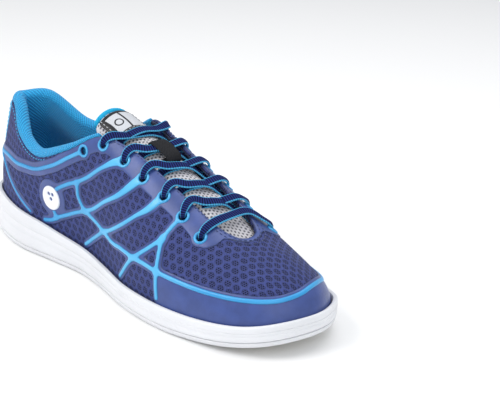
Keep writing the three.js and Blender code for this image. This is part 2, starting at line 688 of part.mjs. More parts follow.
const HIGH_LOW = [CROSSED, OVER_TONGUE];
const fromOuter = [0, 1, 0, 1, 1].map((k) => HIGH_LOW[k]);
const fromArch = [1, 0, 1, 0, 0].map((k) => HIGH_LOW[k]);
const chainA = chain(eyeletL, eyeletM, fromOuter);
const chainB = chain(eyeletM, eyeletL, fromArch);
const laceStops = [...chainB.reverse(), ...bar(), ...chainA];
const laceCurve = new THREE.CatmullRomCurve3(laceStops.map((p) => p.place));
const HEX = [[0.5, 0], [0.3, 0.5], [-0.3, 0.5], [-0.5, 0], [-0.3, -0.5], [0.3, -0.5]];
const LACE_SPLIT = 2;
const laceRings = (laceStops.length - 1) * LACE_SPLIT + 1;
const lace = loft(laceRings, 6, (i, j) => {
  const u = i / (laceRings - 1);
  const k = Math.min(Math.floor(i / LACE_SPLIT), laceStops.length - 2);
  const f = i / LACE_SPLIT - k;
  const [a, b] = [laceStops[k], laceStops[k + 1]];
  const before = laceCurve.getPoint(Math.max(0, u - 1e-4));
  const dir = laceCurve.getPoint(Math.min(1, u + 1e-4)).sub(before).normalize();
  const way = a.way.clone().normalize().lerp(b.way.clone().normalize(), f);
  const side = dir.clone().cross(way).normalize();
  const lift = side.clone().cross(dir).normalize();
  return laceCurve.getPoint(u).addScaledVector(side, HEX[j][0] * mix(a.w, b.w, f))
    .addScaledVector(lift, HEX[j][1] * mix(a.h, b.h, f));
});

function aglet(tip, before) {
  const dir = tip.clone().sub(before).normalize();
  const g = new THREE.CylinderGeometry(1.3, 1.3, AGLET_LENGTH, 8, 1);
  g.applyQuaternion(new THREE.Quaternion().setFromUnitVectors(new THREE.Vector3(0, 1, 0), dir));
  const c = tip.clone().addScaledVector(dir, AGLET_LENGTH / 2 + GAP);
  g.translate(c.x, c.y, c.z);
  return solid(g);
}
const last = laceStops.length - 1;
const agletMedial = aglet(laceStops[last].place, laceStops[last - 1].place);
const agletLateral = aglet(laceStops[0].place, laceStops[1].place);

const group = new THREE.Group();
function put(name, body, color, roughness, metalness = 0) {
  const m = body.getMesh();
  const g = new THREE.BufferGeometry();
  g.setAttribute('position', new THREE.BufferAttribute(new Float32Array(m.vertProperties), 3));
  g.setIndex(new THREE.BufferAttribute(new Uint32Array(m.triVerts), 1));
  g.computeVertexNormals();
  const mesh = new THREE.Mesh(g, new THREE.MeshStandardMaterial({ color, roughness, metalness }));
  mesh.name = name;
  group.add(mesh);
}

put('slide_sole_pad', slidePad, 0xe8e6e0, 0.9);
put('heel_pad', heelPad, 0xd8dade, 0.8);
put('outsole', outsole, 0xf2f3f6, 0.6);
put('midsole', midsole.subtract(shankBox(GAP, 2.1, -3)), 0xf0f1f5, 0.6);
put('shank', shank, 0x3a3d42, 0.5);
put('insole_board', insoleBoard, 0xb9a98c, 0.9);
put('footbed', footbed, 0x2a8fc8, 0.9);
put('heel_counter', heelCounter, 0xcfc8b8, 0.8);
put('toe_puff', toePuff, 0xcfc8b8, 0.8);
put('vamp_lining', vampLining, 0x2a3f7a, 0.9);
put('collar_lining', collarLining, 0x35a7e4, 0.9);
put('collar_foam', collarFoam, 0xe8e4d0, 0.95);
put('eyestay_medial', eyestay(same), 0x2f4590, 0.45);
put('eyestay_lateral', eyestay(toOuter), 0x2f4590, 0.45);
put('toe_cap', toeCapBody, 0x33488f, 0.45);
put('web_medial', web(same), 0x36aee6, 0.4);
put('web_lateral', web(toOuter), 0x36aee6, 0.4);
put('collar_stripe_medial', collarStripe(same), 0x36aee6, 0.4);
put('collar_stripe_lateral', collarStripe(toOuter), 0x36aee6, 0.4);
put('toe_stripe', toeStripe, 0x36aee6, 0.4);
put('ring_1_medial', ring(EYE_M[5]), 0x36aee6, 0.4);
put('ring_6_medial', ring(EYE_M[0]), 0x36aee6, 0.4);
put('ring_1_lateral', ring(EYE_L[5]), 0x36aee6, 0.4);
put('ring_6_lateral', ring(EYE_L[0]), 0x36aee6, 0.4);
put('emblem_medial', emblem(same), 0xf4f6fa, 0.4);
put('emblem_lateral', emblem(toOuter), 0xf4f6fa, 0.4);
put('heel_patch', heelPatch, 0xdfe3ea, 0.5);
put('tongue_face', tongueFace, 0xc9ccd6, 0.9);
put('tongue_foam', tongueFoam, 0xe8e4d0, 0.95);
put('tongue_back', tongueBack, 0x35a7e4, 0.9);
put('tongue_top_pad', tongueTopPad, 0x22262e, 0.8);
put('tongue_label', tongueLabel, 0xdfe3ea, 0.5);
put('tongue_binding', tongueBinding, 0x4fb8e8, 0.8);
put('lace_keeper', laceKeeper, 0x15171c, 0.8);
put('lace', lace, 0x1d2452, 0.85);
put('aglet_medial', agletMedial, 0xb8dcf2, 0.3);
put('aglet_lateral', agletLateral, 0xb8dcf2, 0.3);
put('vamp_mesh', vamp, 0x3f4390, 0.9);
put('quarter_mesh_medial', quarterM, 0x3f4390, 0.9);
put('quarter_mesh_lateral', quarterL, 0x3f4390, 0.9);

// The origin is the middle of the sole on the ground.
const bounds = new THREE.Box3().setFromObject(group);
const middle = bounds.getCenter(new THREE.Vector3());
group.children.forEach((m) => m.geometry.translate(-middle.x, -middle.y, -bounds.min.z));

export default group;
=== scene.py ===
import json
import math

import bpy
import numpy as np
from mathutils import Matrix, Vector

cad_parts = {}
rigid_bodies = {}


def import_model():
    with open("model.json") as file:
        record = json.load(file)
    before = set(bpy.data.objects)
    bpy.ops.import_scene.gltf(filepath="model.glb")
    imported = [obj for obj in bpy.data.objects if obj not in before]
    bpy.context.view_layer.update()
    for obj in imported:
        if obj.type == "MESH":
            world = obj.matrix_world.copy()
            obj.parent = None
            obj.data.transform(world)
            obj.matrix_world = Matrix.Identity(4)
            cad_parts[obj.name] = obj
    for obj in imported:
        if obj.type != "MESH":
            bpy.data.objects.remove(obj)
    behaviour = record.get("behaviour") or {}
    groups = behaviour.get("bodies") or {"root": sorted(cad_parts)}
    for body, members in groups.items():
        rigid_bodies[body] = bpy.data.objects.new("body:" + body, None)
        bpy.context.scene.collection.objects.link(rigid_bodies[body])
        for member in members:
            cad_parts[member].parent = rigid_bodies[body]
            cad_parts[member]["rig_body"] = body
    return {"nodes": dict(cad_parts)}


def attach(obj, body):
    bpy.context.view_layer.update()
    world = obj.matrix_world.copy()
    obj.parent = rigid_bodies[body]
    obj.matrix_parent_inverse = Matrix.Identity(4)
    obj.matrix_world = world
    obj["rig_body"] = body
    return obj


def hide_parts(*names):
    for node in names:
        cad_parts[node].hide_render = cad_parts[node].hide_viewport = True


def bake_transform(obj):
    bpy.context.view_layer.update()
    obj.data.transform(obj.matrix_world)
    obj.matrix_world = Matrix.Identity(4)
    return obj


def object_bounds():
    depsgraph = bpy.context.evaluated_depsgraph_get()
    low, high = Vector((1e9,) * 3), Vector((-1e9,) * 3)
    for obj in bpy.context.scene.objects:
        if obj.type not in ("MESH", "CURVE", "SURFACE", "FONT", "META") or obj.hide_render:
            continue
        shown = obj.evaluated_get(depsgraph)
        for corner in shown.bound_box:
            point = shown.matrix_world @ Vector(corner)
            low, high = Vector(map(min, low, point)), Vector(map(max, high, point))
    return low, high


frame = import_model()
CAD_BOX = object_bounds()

bl_info = {
    "name": "Bowling Shoe",
    "version": (1, 0, 0),
    "blender": (4, 5, 0),
    "location": "View3D > Sidebar > Shoe",
    "description": "Builds a low lace-up bowling shoe piece by piece",
    "category": "Add Mesh",
}

SHOE = "shoe"
TONGUE_TOP = "tongue_top"
SOCK = "footbed"
MM = 0.001
# The frame's origin in the shoe's own millimetres, whose zero is the back of the heel.
ORIGIN = np.array([137.7307, 2.2507, 0.0])

# One row per station round the shoe, heel centre first, arch side next:
# outline x y | top edge x y z | rise and lean at the sole | reach and drop below the top edge
ROWS = np.array([
    [0, 0, 8, 0, 89, 24, 2, 5, 22],
    [5, -17, 13, -9, 88.5, 24, 2, 4, 22],
    [22, -27, 22, -14, 86, 22, 2, 5, 20],
    [48, -33, 41, -24, 72, 18, 1, 4, 14],
    [78, -32, 66, -29.5, 66.5, 16, -1, 3, 14],
    [108, -31, 95, -29, 78, 22, -2, 4, 18],
    [135, -36, 120, -22.5, 91.5, 26, -1, 10, 14],
    [163, -43.5, 142, -16, 86.5, 26, 1, 14, 9],
    [192, -46.5, 167, -14, 76, 24, 2, 16, 8],
    [218, -44.5, 190, -13, 65.5, 22, 2, 16, 7],
    [243, -39.5, 208, -11.5, 57, 20, 1, 18, 6],
    [262, -28.5, 217, -7, 52.5, 19, 1, 24, 5],
    [273, -10.5, 220.5, -2, 51.5, 19, 1, 28, 5],
    [275, 8, 220.5, 3, 52, 19, 1, 27, 6],
    [264, 29, 217, 8, 53.5, 19, 0, 22, 9],
    [243, 42, 208, 11, 58.5, 19, 0, 18, 10],
    [215, 49, 190, 12.5, 68, 21, 0, 15, 10],
    [185, 51, 166, 13, 79, 23, 1, 15, 10],
    [150, 48, 140, 15, 89, 25, 1, 14, 10],
    [110, 41.5, 116, 23, 92, 26, 1, 10, 14],
    [70, 37, 87, 31, 76, 20, 0, 4, 16],
    [35, 34.5, 48, 27.5, 74, 20, 1, 4, 14],
    [10, 24, 23, 16, 90, 22, 2, 6, 20],
], float)
STATIONS = len(ROWS)
# Arch-side station to the matching outer-side station.
ACROSS = np.array([
    [-1, 24], [0, 23], [1.1, 22.25], [2, 21.5], [3, 20.8], [3.77, 20.25], [4.2, 20], [5.19, 19.35],
    [5.49, 19.15], [6.09, 18.6], [6.77, 17.85], [7.39, 17.2], [8.06, 16.55], [8.69, 15.9],
    [9.29, 15.15], [9.94, 14.6], [12.6, 12.6],
])
# Eyelets from the first at the toe to the seventh at the collar, arch side then outer side.
EYE_M = [[9.29, 0.71], [8.69, 0.77], [8.06, 0.8], [7.39, 0.8], [6.77, 0.83], [6.09, 0.9], [5.49, 0.9]]
EYE_L = [[float(np.interp(t, *ACROSS.T)), s] for t, s in EYE_M]
EYELET_R = 2.3
# A distance past anything on the shoe.
FAR = 1000.0

# Sole and what lies in it.
SOLE_TOP = [[0, 31], [60, 25], [110, 18], [160, 14.5], [210, 14.5], [245, 17], [275, 23]]
TOE_SPRING = 10.0
SPRING_FROM = 195
SPRING_RUN = 80
TUCK = 6.0
UPPER_INSET = 4.0
GAP = 0.3
RIM = 3.0
PAD_PROUD = 0.4
OUTSOLE = 3.2
BOARD = 1.8
FOOTBED = 4.0

# Upper: cloth thicknesses, heights above the mesh's face, widths of the print.
MESH = 1.2
LINING = 0.6
LINING_IN = 1.75
FILM_TOP = 0.62
PRINT_TOP = 1.35
PRINT_W = 2.7
HEEL_LINE_W = 1.5
EYE_PRINT = 5.8
RING_R = 4.1
FILM_BORDER = 1.7
STRIPE_BORDER = 3.4
EMBLEM_GROUND = 12.5
STATION_MM = 26
EMBLEM_AT = (4.2, 0.5)
EMBLEM_R = 8.0
BALL_HOLES = ((-1.7, 2.6), (1.7, 2.6), (0.0, -0.6))
BALL_HOLE_R = 1.15
VAMP = (8.15, 16.45)
TOE = 12.6
TOP_EDGE = 0.985
COLLAR = (-3.93, 5.93)
COLLAR_ROLL = 4.4

# Tongue: height of its face along its middle, share of its full half width, and its ends.
TONGUE_LINE = [
    [105, 99.5], [120, 94.5], [142, 86], [166, 76], [190, 64.8], [208, 55.2], [220, 48.6], [230, 46.9],
]
TONGUE_WIDTH = [[105, 0.8], [110, 0.9], [131, 0.92], [145, 1], [200, 1], [215, 0.85], [230, 0.7]]
TONGUE_HALF = 19.0
TONGUE_THICK = 5.7
TONGUE_X = (105.0, 230.0)


# ---------------------------------------------------------------- the shoe's surfaces, in millimetres
def table(x, knots):
    """Smooth monotone curve through a few knots."""
    k = np.asarray(knots, float)
    xs, zs = k[:, 0], k[:, 1]
    x = np.clip(np.asarray(x, float), xs[0], xs[-1])
    h = np.diff(xs)
    slope = np.diff(zs) / h
    tangent = np.empty(len(xs))
    tangent[0], tangent[-1] = slope[0], slope[-1]
    a, b = slope[:-1], slope[1:]
    tangent[1:-1] = np.where(a * b > 0, 2 * a * b / np.where(a * b > 0, a + b, 1), 0)
    i = np.clip(np.searchsorted(xs, x, "left") - 1, 0, len(h) - 1)
    f = (x - xs[i]) / h[i]
    ta, tb, d = tangent[i] * h[i], tangent[i + 1] * h[i], zs[i + 1] - zs[i]
    return zs[i] + f * (ta + f * (3 * d - 2 * ta - tb + f * (ta + tb - 2 * d)))


def mix(a, b, f):
    return a + (b - a) * f


def smooth(x):
    x = np.clip(x, 0, 1)
    return x * x * (3 - 2 * x)


def unit(v):
    return v / np.maximum(np.linalg.norm(v, axis=-1, keepdims=True), 1e-12)

def vec(x, y, z):
    """Points or directions from their three parts."""
    return np.stack(np.broadcast_arrays(x, y, z), -1)


def run_length(points):
    """Distance run along a row of points, from zero."""
    return np.concatenate([[0], np.cumsum(np.linalg.norm(np.diff(points, axis=0), axis=1))])


def catmull(p0, p1, p2, p3, f):
    """Uniform Catmull-Rom curve from p1 to p2."""
    return 0.5 * (
        2 * p1 + (p2 - p0) * f + (2 * p0 - 5 * p1 + 4 * p2 - p3) * f**2
        + (3 * p1 - p0 - 3 * p2 + p3) * f**3
    )


def spline(points, count):
    """Smooth curve through a few points, its end points repeated."""
    p = np.asarray(points, float)
    u = np.linspace(0, len(p) - 1, count)
    i = np.minimum(np.floor(u).astype(int), len(p) - 2)
    return catmull(*(p[np.clip(i + k, 0, len(p) - 1)] for k in (-1, 0, 1, 2)), (u - i)[:, None])


def sole_top(x):
    return table(x, SOLE_TOP)


def sole_low(x):
    return TOE_SPRING * np.maximum(0, (np.asarray(x) - SPRING_FROM) / SPRING_RUN) ** 2


def cup_floor(x):
    return sole_top(x) - TUCK - GAP


def row(t):
    t = np.asarray(t, float) % STATIONS
    i = np.floor(t).astype(int)
    return catmull(*(ROWS[(i + k) % STATIONS] for k in (-1, 0, 1, 2)), (t - i)[..., None])


def outward(t):
    step = 0.001
    d = row(np.asarray(t) + step) - row(np.asarray(t) - step)
    return unit(vec(d[..., 1], -d[..., 0], 0.0))


def face(t, s):
    """Point of the upper's outer face: t runs round the shoe, s from the sole (0) to the top edge (1)."""
    t, s = np.broadcast_arrays(np.asarray(t, float), np.asarray(s, float))
    x, y, top_x, top_y, top_z, rise, lean, reach, drop = np.moveaxis(row(t), -1, 0)
    out = outward(t)
    low = vec(x, y, sole_top(x) - TUCK) - out * UPPER_INSET
    top = vec(top_x, top_y, top_z)
    a = low + out * lean[..., None] + vec(0.0, 0.0, rise)
    b = top + unit(vec(x - top_x, y - top_y, 0.0)) * reach[..., None] - vec(0.0, 0.0, drop)
    s = s[..., None]
    q = 1 - s
    return low * q**3 + a * 3 * s * q * q + b * 3 * s * s * q + top * s**3


def along(t, s):
    step = 0.002
    return unit(face(t, np.asarray(s) + step) - face(t, np.asarray(s) - step))


def normal(t, s):
    step = 0.002
    return unit(np.cross(face(np.asarray(t) + step, s) - face(np.asarray(t) - step, s), along(t, s)))


def upper(t, s, off):
    """Point off millimetres out from the upper's face."""
    off = np.asarray(off, float)
    return face(t, s) + normal(t, s) * (off[..., None] if off.ndim else off)


def rim(t):
    """Height on the upper just clear of the sole's edge."""
    s = np.full(np.shape(t), 0.05)
    for _ in range(90):
        p = face(t, s)
        s = np.where(p[..., 2] < sole_top(p[..., 0]) + 0.9, s + 0.005, s)
    return s


def tongue_top_z(x, y):
    return table(x, TONGUE_LINE) - 0.029 * y**2 - 0.00002 * y**4


def tongue_point(x, y, off):
    """Point off millimetres out from the tongue's face."""
    x, y, off = np.broadcast_arrays(*(np.asarray(v, float) for v in (x, y, off)))
    step = 0.1
    dx = (tongue_top_z(x + step, y) - tongue_top_z(x - step, y)) / (2 * step)
    dy = (tongue_top_z(x, y + step) - tongue_top_z(x, y - step)) / (2 * step)
    return vec(x, y, tongue_top_z(x, y)) + unit(vec(-dx, -dy, 1.0)) * off[..., None]


def tongue_half(x):
    return TONGUE_HALF * table(x, TONGUE_WIDTH)


def outer_side(t):
    return np.interp(t, *ACROSS.T)


def roll_radius(t):
    return mix(2.0, COLLAR_ROLL, smooth(np.minimum(t - COLLAR[0], COLLAR[1] - t) / 1.8))


def collar_depth(t, s):
    inner = mix(4.0, 2 * roll_radius(t), smooth((s - 0.45) / 0.4))
    return mix(3.2, inner, smooth((s - 0.1) / 0.3))


def eyelet_gap(points, eyes):
    """Distance from each point to the nearest eyelet's centre."""
    return np.min([np.linalg.norm(points - face(t, s), axis=-1) for t, s in eyes], axis=0)


# ---------------------------------------------------------------- meshes
def placed(name, data):
    obj = bpy.data.objects.new(name, data)
    bpy.context.scene.collection.objects.link(obj)
    return obj


def to_mesh(name, points, faces, uv=None, marks=None, sharp=None):
    """Object from points in millimetres; uv and marks (named numbers) are given per point."""
    mesh = bpy.data.meshes.new(name)
    mesh.from_pydata(((np.asarray(points) - ORIGIN) * MM).tolist(), [], [list(map(int, f)) for f in faces])
    index = np.empty(len(mesh.loops), int)
    mesh.loops.foreach_get("vertex_index", index)
    if uv is not None:
        layer = mesh.uv_layers.new(name="UVMap")
        layer.data.foreach_set("uv", np.asarray(uv, np.float32)[index].ravel())
    for key, values in (marks or {}).items():
        mesh.attributes.new(key, "FLOAT", "POINT").data.foreach_set("value", np.asarray(values, np.float32))
    mesh.polygons.foreach_set("use_smooth", [True] * len(mesh.polygons))
    if sharp:
        mesh.set_sharp_from_angle(angle=math.radians(sharp))
    mesh.validate()
    return placed(name, mesh)


def rings_mesh(name, rings, uv=None, marks=None, sharp=None, cap=None):
    """Closed body through rings of points; cap lists the faces that close an end, or it is one face."""
    n, m = rings.shape[:2]
    i, j = np.meshgrid(np.arange(n - 1), np.arange(m), indexing="ij")
    k = (j + 1) % m
    faces = np.stack([i * m + j, (i + 1) * m + j, (i + 1) * m + k, i * m + k], -1).reshape(-1, 4).tolist()
    cap = cap or [list(range(m))]
    faces += cap + [[(n - 1) * m + a for a in reversed(f)] for f in cap]
    obj = to_mesh(name, rings.reshape(-1, 3), faces, uv, marks, sharp)
    if sum(Vector(p.center).dot(p.normal) * p.area for p in obj.data.polygons) < 0:
        obj.data.flip_normals()
    return obj


def spread_uv(u, v, shape):
    """UV for each point of a grid of that shape."""
    return np.stack([np.broadcast_to(u, shape), np.broadcast_to(v, shape)], -1).reshape(-1, 2)


def shell_uv(points):
    """Unrolled position on the toe and the film: along the shoe, and round it."""
    angle = np.arctan2(points[..., 1] - 2.0, points[..., 2] - 8.0)
    return np.stack([points[..., 0] * 1.04, angle * 52.0], -1)


def wrapped_uv(at):
    """Unrolled position on a side panel: along the shoe at mid height, and up from the sole."""
    stations = np.linspace(-1, STATIONS + 1, 900)
    run = run_length(face(stations, 0.45))
    rise = np.zeros(len(at))
    before = face(at[:, 0], 0.0)
    for k in range(1, 17):
        here = face(at[:, 0], at[:, 1] * k / 16)
        rise += np.linalg.norm(here - before, axis=1)
        before = here
    return np.stack([np.interp(at[:, 0], stations, run), rise], 1)


def grid(t0, t1, s0, s1, nt, ns):
    t, f = np.meshgrid(np.linspace(t0, t1, nt), np.linspace(0, 1, ns), indexing="ij")
    return t, mix(s0, s1, f)


def clipped_shell(name, t, s, inside, top, bottom, wrapped=False):
    """Sheet on the upper, kept where the field `inside` (mm from its edge) is positive.

    top and bottom give its two faces' heights from that field.
    """
    nt, ns = t.shape
    values = inside.ravel().copy()
    least = 1e-3
    values[np.abs(values) < least] = least
    point, away = face(t, s).reshape(-1, 3), normal(t, s).reshape(-1, 3)
    at = np.stack([t.ravel(), s.ravel()], -1)
    i, j = np.meshgrid(np.arange(nt - 1), np.arange(ns - 1), indexing="ij")
    a, b = i * ns + j, (i + 1) * ns + j
    c, d = b + 1, a + 1
    odd = (i + j) % 2 == 1
    one = np.where(odd[..., None], np.stack([a, b, c], -1), np.stack([a, b, d], -1))
    two = np.where(odd[..., None], np.stack([a, c, d], -1), np.stack([b, c, d], -1))
    tri = np.concatenate([one.reshape(-1, 3), two.reshape(-1, 3)])
    keep = values > 0
    count = keep[tri].sum(1)
    whole = tri[count == 3]
    size = len(values)
    cut_keys, cut_tris = [], []

    def key(x, y):
        return np.minimum(x, y) * size + np.maximum(x, y)

    for wanted in (1, 2):
        part = tri[count == wanted]
        flag = keep[part]
        lone = np.argmax(flag if wanted == 1 else ~flag, axis=1)
        p = np.take_along_axis(part, np.stack([lone, (lone + 1) % 3, (lone + 2) % 3], -1), 1)
        k1, k2 = key(p[:, 0], p[:, 1]), key(p[:, 0], p[:, 2])
        cut_keys += [k1, k2]
        cut_tris.append((wanted, p, k1, k2))
    keys = np.unique(np.concatenate(cut_keys))
    lo, hi = keys // size, keys % size
    f = (values[lo] / (values[lo] - values[hi]))[:, None]
    point = np.concatenate([point, mix(point[lo], point[hi], f)])
    away = unit(np.concatenate([away, mix(away[lo], away[hi], f)]))
    at = np.concatenate([at, mix(at[lo], at[hi], f)])
    values = np.concatenate([values, np.zeros(len(keys))])
    out = [whole]
    for wanted, p, k1, k2 in cut_tris:
        e1, e2 = size + np.searchsorted(keys, k1), size + np.searchsorted(keys, k2)
        if wanted == 1:
            out.append(np.stack([p[:, 0], e1, e2], -1))
        else:
            out.append(np.stack([e1, p[:, 1], p[:, 2]], -1))
            out.append(np.stack([e1, p[:, 2], e2], -1))
    tri = np.concatenate(out)
    used, tri = np.unique(tri, return_inverse=True)
    tri = tri.reshape(-1, 3)
    point, away, at, values = point[used], away[used], at[used], values[used]
    count = len(used)
    edge = np.concatenate([tri[:, [0, 1]], tri[:, [1, 2]], tri[:, [2, 0]]])
    forward, back = edge[:, 0] * count + edge[:, 1], edge[:, 1] * count + edge[:, 0]
    open_edge = edge[~np.isin(forward, back)]
    high = point + away * np.asarray(top(values, at))[:, None]
    low = point + away * np.asarray(bottom(values, at))[:, None]
    one, two = open_edge.T
    wall = np.stack([two, one, one + count, two + count], -1)
    faces = tri.tolist() + (tri[:, ::-1] + count).tolist() + wall.tolist()
    both = np.concatenate([high, low])
    uv = np.tile(wrapped_uv(at), (2, 1)) if wrapped else shell_uv(both)
    return to_mesh(name, both, faces, uv, {"inset": np.tile(values, 2)}, sharp=50)


def plan_edges(inset, x):
    """y of the sole outline moved inwards, on the arch side and on the outer side, at each x."""
    t = np.linspace(0, STATIONS, 1400, endpoint=False)
    p = row(t)[:, :2] - outward(t)[:, :2] * inset
    first, last = np.argmin(p[:, 0]), np.argmax(p[:, 0])
    order = np.roll(p, -first, axis=0)
    turn = (last - first) % len(p)
    arch, outer = order[: turn + 1], np.concatenate([order[turn:], order[:1]])[::-1]
    clear = 0.02
    xs = mix(order[0, 0] + clear, order[turn, 0] - clear, x)
    return xs, np.interp(xs, *arch.T), np.interp(xs, *outer.T)


def slab(name, layers, nx=150, sharp=42):
    """Body over the sole's plan from (inset, z(x)) layers stacked upwards."""
    f = (1 - np.cos(np.pi * np.arange(nx + 1) / nx)) / 2
    rings = []
    for inset, z in layers:
        x, arch, outer = plan_edges(inset, f)
        for end in (0, -1):
            arch[end] = outer[end] = (arch[end] + outer[end]) / 2
        ring = np.concatenate([np.stack([x, arch], 1), np.stack([x, outer], 1)[-2:0:-1]])
        rings.append(np.column_stack([ring, z(ring[:, 0])]))
    rings = np.array(rings)
    m = 2 * nx
    cap = [[0, 1, m - 1]] + [[a, a + 1, m - a - 1, m - a] for a in range(1, nx - 1)] + [[nx - 1, nx, nx + 1]]
    return rings_mesh(name, rings, rings[..., :2].reshape(-1, 2), sharp=sharp, cap=cap)


# ---------------------------------------------------------------- finishes
class Value:
    """A number or colour in a finish's node tree; sums and products of it are Math nodes."""

    def __init__(self, finish, socket):
        self.finish = finish
        self.socket = socket

    def __add__(self, other):
        return self.finish.math("ADD", self, other)

    def __sub__(self, other):
        return self.finish.math("SUBTRACT", self, other)

    def __mul__(self, other):
        return self.finish.math("MULTIPLY", self, other)

    def __abs__(self):
        return self.finish.math("ABSOLUTE", self)


class Finish:
    """A node material being wired up. Lengths inside it are millimetres."""

    def __init__(self, name, colour, rough, **sockets):
        self.material = bpy.data.materials.new(name)
        self.material.use_nodes = True
        self.tree = self.material.node_tree
        self.shader = self.tree.nodes["Principled BSDF"]
        self.shader.inputs["Base Color"].default_value = (*colour[:3], 1)
        self.shader.inputs["Roughness"].default_value = rough
        for key, value in sockets.items():
            self.shader.inputs[key.replace("_", " ")].default_value = value

    def add(self, kind, inputs=(), out=0, **settings):
        node = self.tree.nodes.new(kind)
        for key, value in settings.items():
            setattr(node, key, value)
        for key, value in dict(inputs).items():
            self.wire(value, node.inputs[key])
        return Value(self, node.outputs[out])

    def wire(self, value, socket):
        if isinstance(value, Value):
            self.tree.links.new(value.socket, socket)
        elif value is not None:
            socket.default_value = value

    def math(self, operation, a, b=None):
        return self.add("ShaderNodeMath", {0: a, 1: b}, operation=operation)

    def space(self, kind="Object"):
        """Position in millimetres: Object, or UV (already in millimetres)."""
        source = self.add("ShaderNodeTexCoord", out=["Generated", "Normal", "UV", "Object"].index(kind))
        scale = 1 / MM if kind == "Object" else 1.0
        return self.add("ShaderNodeVectorMath", {0: source, 1: (scale, scale, scale)}, operation="MULTIPLY")

    def axes(self, vector):
        node = self.tree.nodes.new("ShaderNodeSeparateXYZ")
        self.wire(vector, node.inputs[0])
        return [Value(self, out) for out in node.outputs]

    def mark(self, name):
        return self.add("ShaderNodeAttribute", attribute_name=name, out=2)

    def noise(self, vector, size, detail=2.0):
        return self.add("ShaderNodeTexNoise", {"Vector": vector, "Scale": 1 / size, "Detail": detail})

    def span(self, value, low, high, to_low=0.0, to_high=1.0):
        return self.add("ShaderNodeMapRange", {0: value, 1: low, 2: high, 3: to_low, 4: to_high},
                        interpolation_type="SMOOTHSTEP")

    def between(self, noise, low=0.0, high=1.0):
        """A noise spread from low to high."""
        return self.span(noise, 0.3, 0.7, low, high)

    def blend(self, factor, a, b):
        a, b = (v if isinstance(v, Value) else (*v[:3], 1) for v in (a, b))
        return self.add("ShaderNodeMix", {0: factor, 6: a, 7: b}, out=2, data_type="RGBA")

    def lattice(self, x, y, wide, tall):
        """Distance in mm to the nearest point of a staggered lattice."""
        def near(shift):
            away = []
            for value, step in ((x, wide), (y, tall)):
                share = self.math("FRACT", self.math("DIVIDE", value, step) + (shift + 100.0))
                part = (share - 0.5) * step
                away.append(part * part)
            return self.math("SQRT", away[0] + away[1])

        return self.math("MINIMUM", near(0.0), near(0.5))

    def wave(self, value, pitch):
        return self.math("SINE", value * (2 * math.pi / pitch))

    def relief(self, height, distance):
        """Bump from a height of 0 to 1 times distance in millimetres."""
        bump = self.add("ShaderNodeBump", {"Height": height, "Distance": distance * MM, "Strength": 1.0})
        self.wire(bump, self.shader.inputs["Normal"])

    def paint(self, colour=None, rough=None):
        self.wire(colour, self.shader.inputs["Base Color"])
        self.wire(rough, self.shader.inputs["Roughness"])
        return self.material


def shade(colour, factor):
    return tuple(min(1.0, c * factor) for c in colour[:3])


def speckled(name, colour, rough, grain, depth, spread=0.12):
    """Plain moulded or pressed finish: fine grain, slight colour drift, uneven gloss."""
    f = Finish(name, colour, rough)
    where = f.space()
    fine, broad = f.noise(where, grain, 3.0), f.noise(where, 22.0)
    tint = f.blend(f.between(broad), shade(colour, 1 - spread), shade(colour, 1 + spread * 0.4))
    f.relief(fine, depth)
    return f.paint(tint, f.between(fine, rough - 0.06, rough + 0.08))


def foam_finish(name, colour):
    """Moulded foam: close grain, and scuffs along its foot."""
    f = Finish(name, colour, 0.52)
    where = f.space()
    _, _, z = f.axes(where)
    fine, broad = f.noise(where, 0.5, 3.0), f.noise(where, 30.0)
    scuff = f.span(f.noise(where, 7.0, 6.0), 0.6, 0.75) * f.span(z, 9.0, 4.0)
    tint = f.blend(scuff * 0.35, f.blend(f.between(broad), shade(colour, 0.95), colour), shade(colour, 0.72))
    f.relief(fine, 0.05)
    return f.paint(tint, f.between(fine, 0.46, 0.6))


def nap_finish(name):
    """Napped hide of the slide pad."""
    f = Finish(name, (0.74, 0.72, 0.66), 0.95, Sheen_Weight=0.5)
    where = f.space()
    f.relief(f.noise(where, 0.5, 4.0), 0.25)
    return f.paint(f.blend(f.between(f.noise(where, 12.0, 3.0)), (0.62, 0.6, 0.54), (0.78, 0.76, 0.7)))


def knit_finish(name, ridge, hole, pitch):
    """Engineered mesh: staggered clusters of small open cells in a fine knit; the open cells and the sunk
    patches round them are painted dark as shade.
    """
    f = Finish(name, ridge, 0.8, Sheen_Weight=0.06, Sheen_Roughness=0.45, Specular_IOR_Level=0.3)
    u, v, _ = f.axes(f.space("UV"))
    tall = pitch * 1.732
    cell = f.lattice(u, v, pitch, tall)
    cluster = f.lattice(u, v, pitch * 4, tall * 4)
    patch = f.span(cluster, pitch * 1.66, pitch * 1.4)
    open_cell = f.span(cell, pitch * 0.44, pitch * 0.27) * patch
    thread = f.wave(u + v * 0.6, pitch * 0.8)
    drift = f.noise(f.space(), 6.0, 4.0)
    yarn = f.blend(f.span(thread, -0.9, 0.9), shade(ridge, 0.86), shade(ridge, 1.12))
    yarn = f.blend(f.span(drift, 0.4, 0.75) * 0.5, yarn, shade(ridge, 1.25))
    # painted shade: the sunk patches round the open cells are darkened
    yarn = f.blend(patch * 0.25, yarn, shade(ridge, 0.7))
    f.relief(thread * 0.06 - (patch * 0.45 + open_cell * 0.5), 0.55)
    # painted shade: the open cells take the cell colour, the navy lining seen in shade through them
    return f.paint(f.blend(open_cell, yarn, hole))


def film_finish(name, colour, seam):
    """Welded film: satin skin with a darker sunk edge and faint creases."""
    f = Finish(name, colour, 0.42, Coat_Weight=0.25, Coat_Roughness=0.3)
    where = f.space()
    grain, crease = f.noise(where, 0.7), f.noise(where, 9.0, 3.0)
    tint = f.blend(f.span(crease, 0.3, 0.72), shade(colour, 0.9), shade(colour, 1.15))
    tint = f.blend(f.span(f.mark("inset"), 0.0, 0.7), seam, tint)
    f.relief(grain * 0.12 + crease, 0.35)
    return f.paint(tint, f.between(grain, 0.36, 0.5))


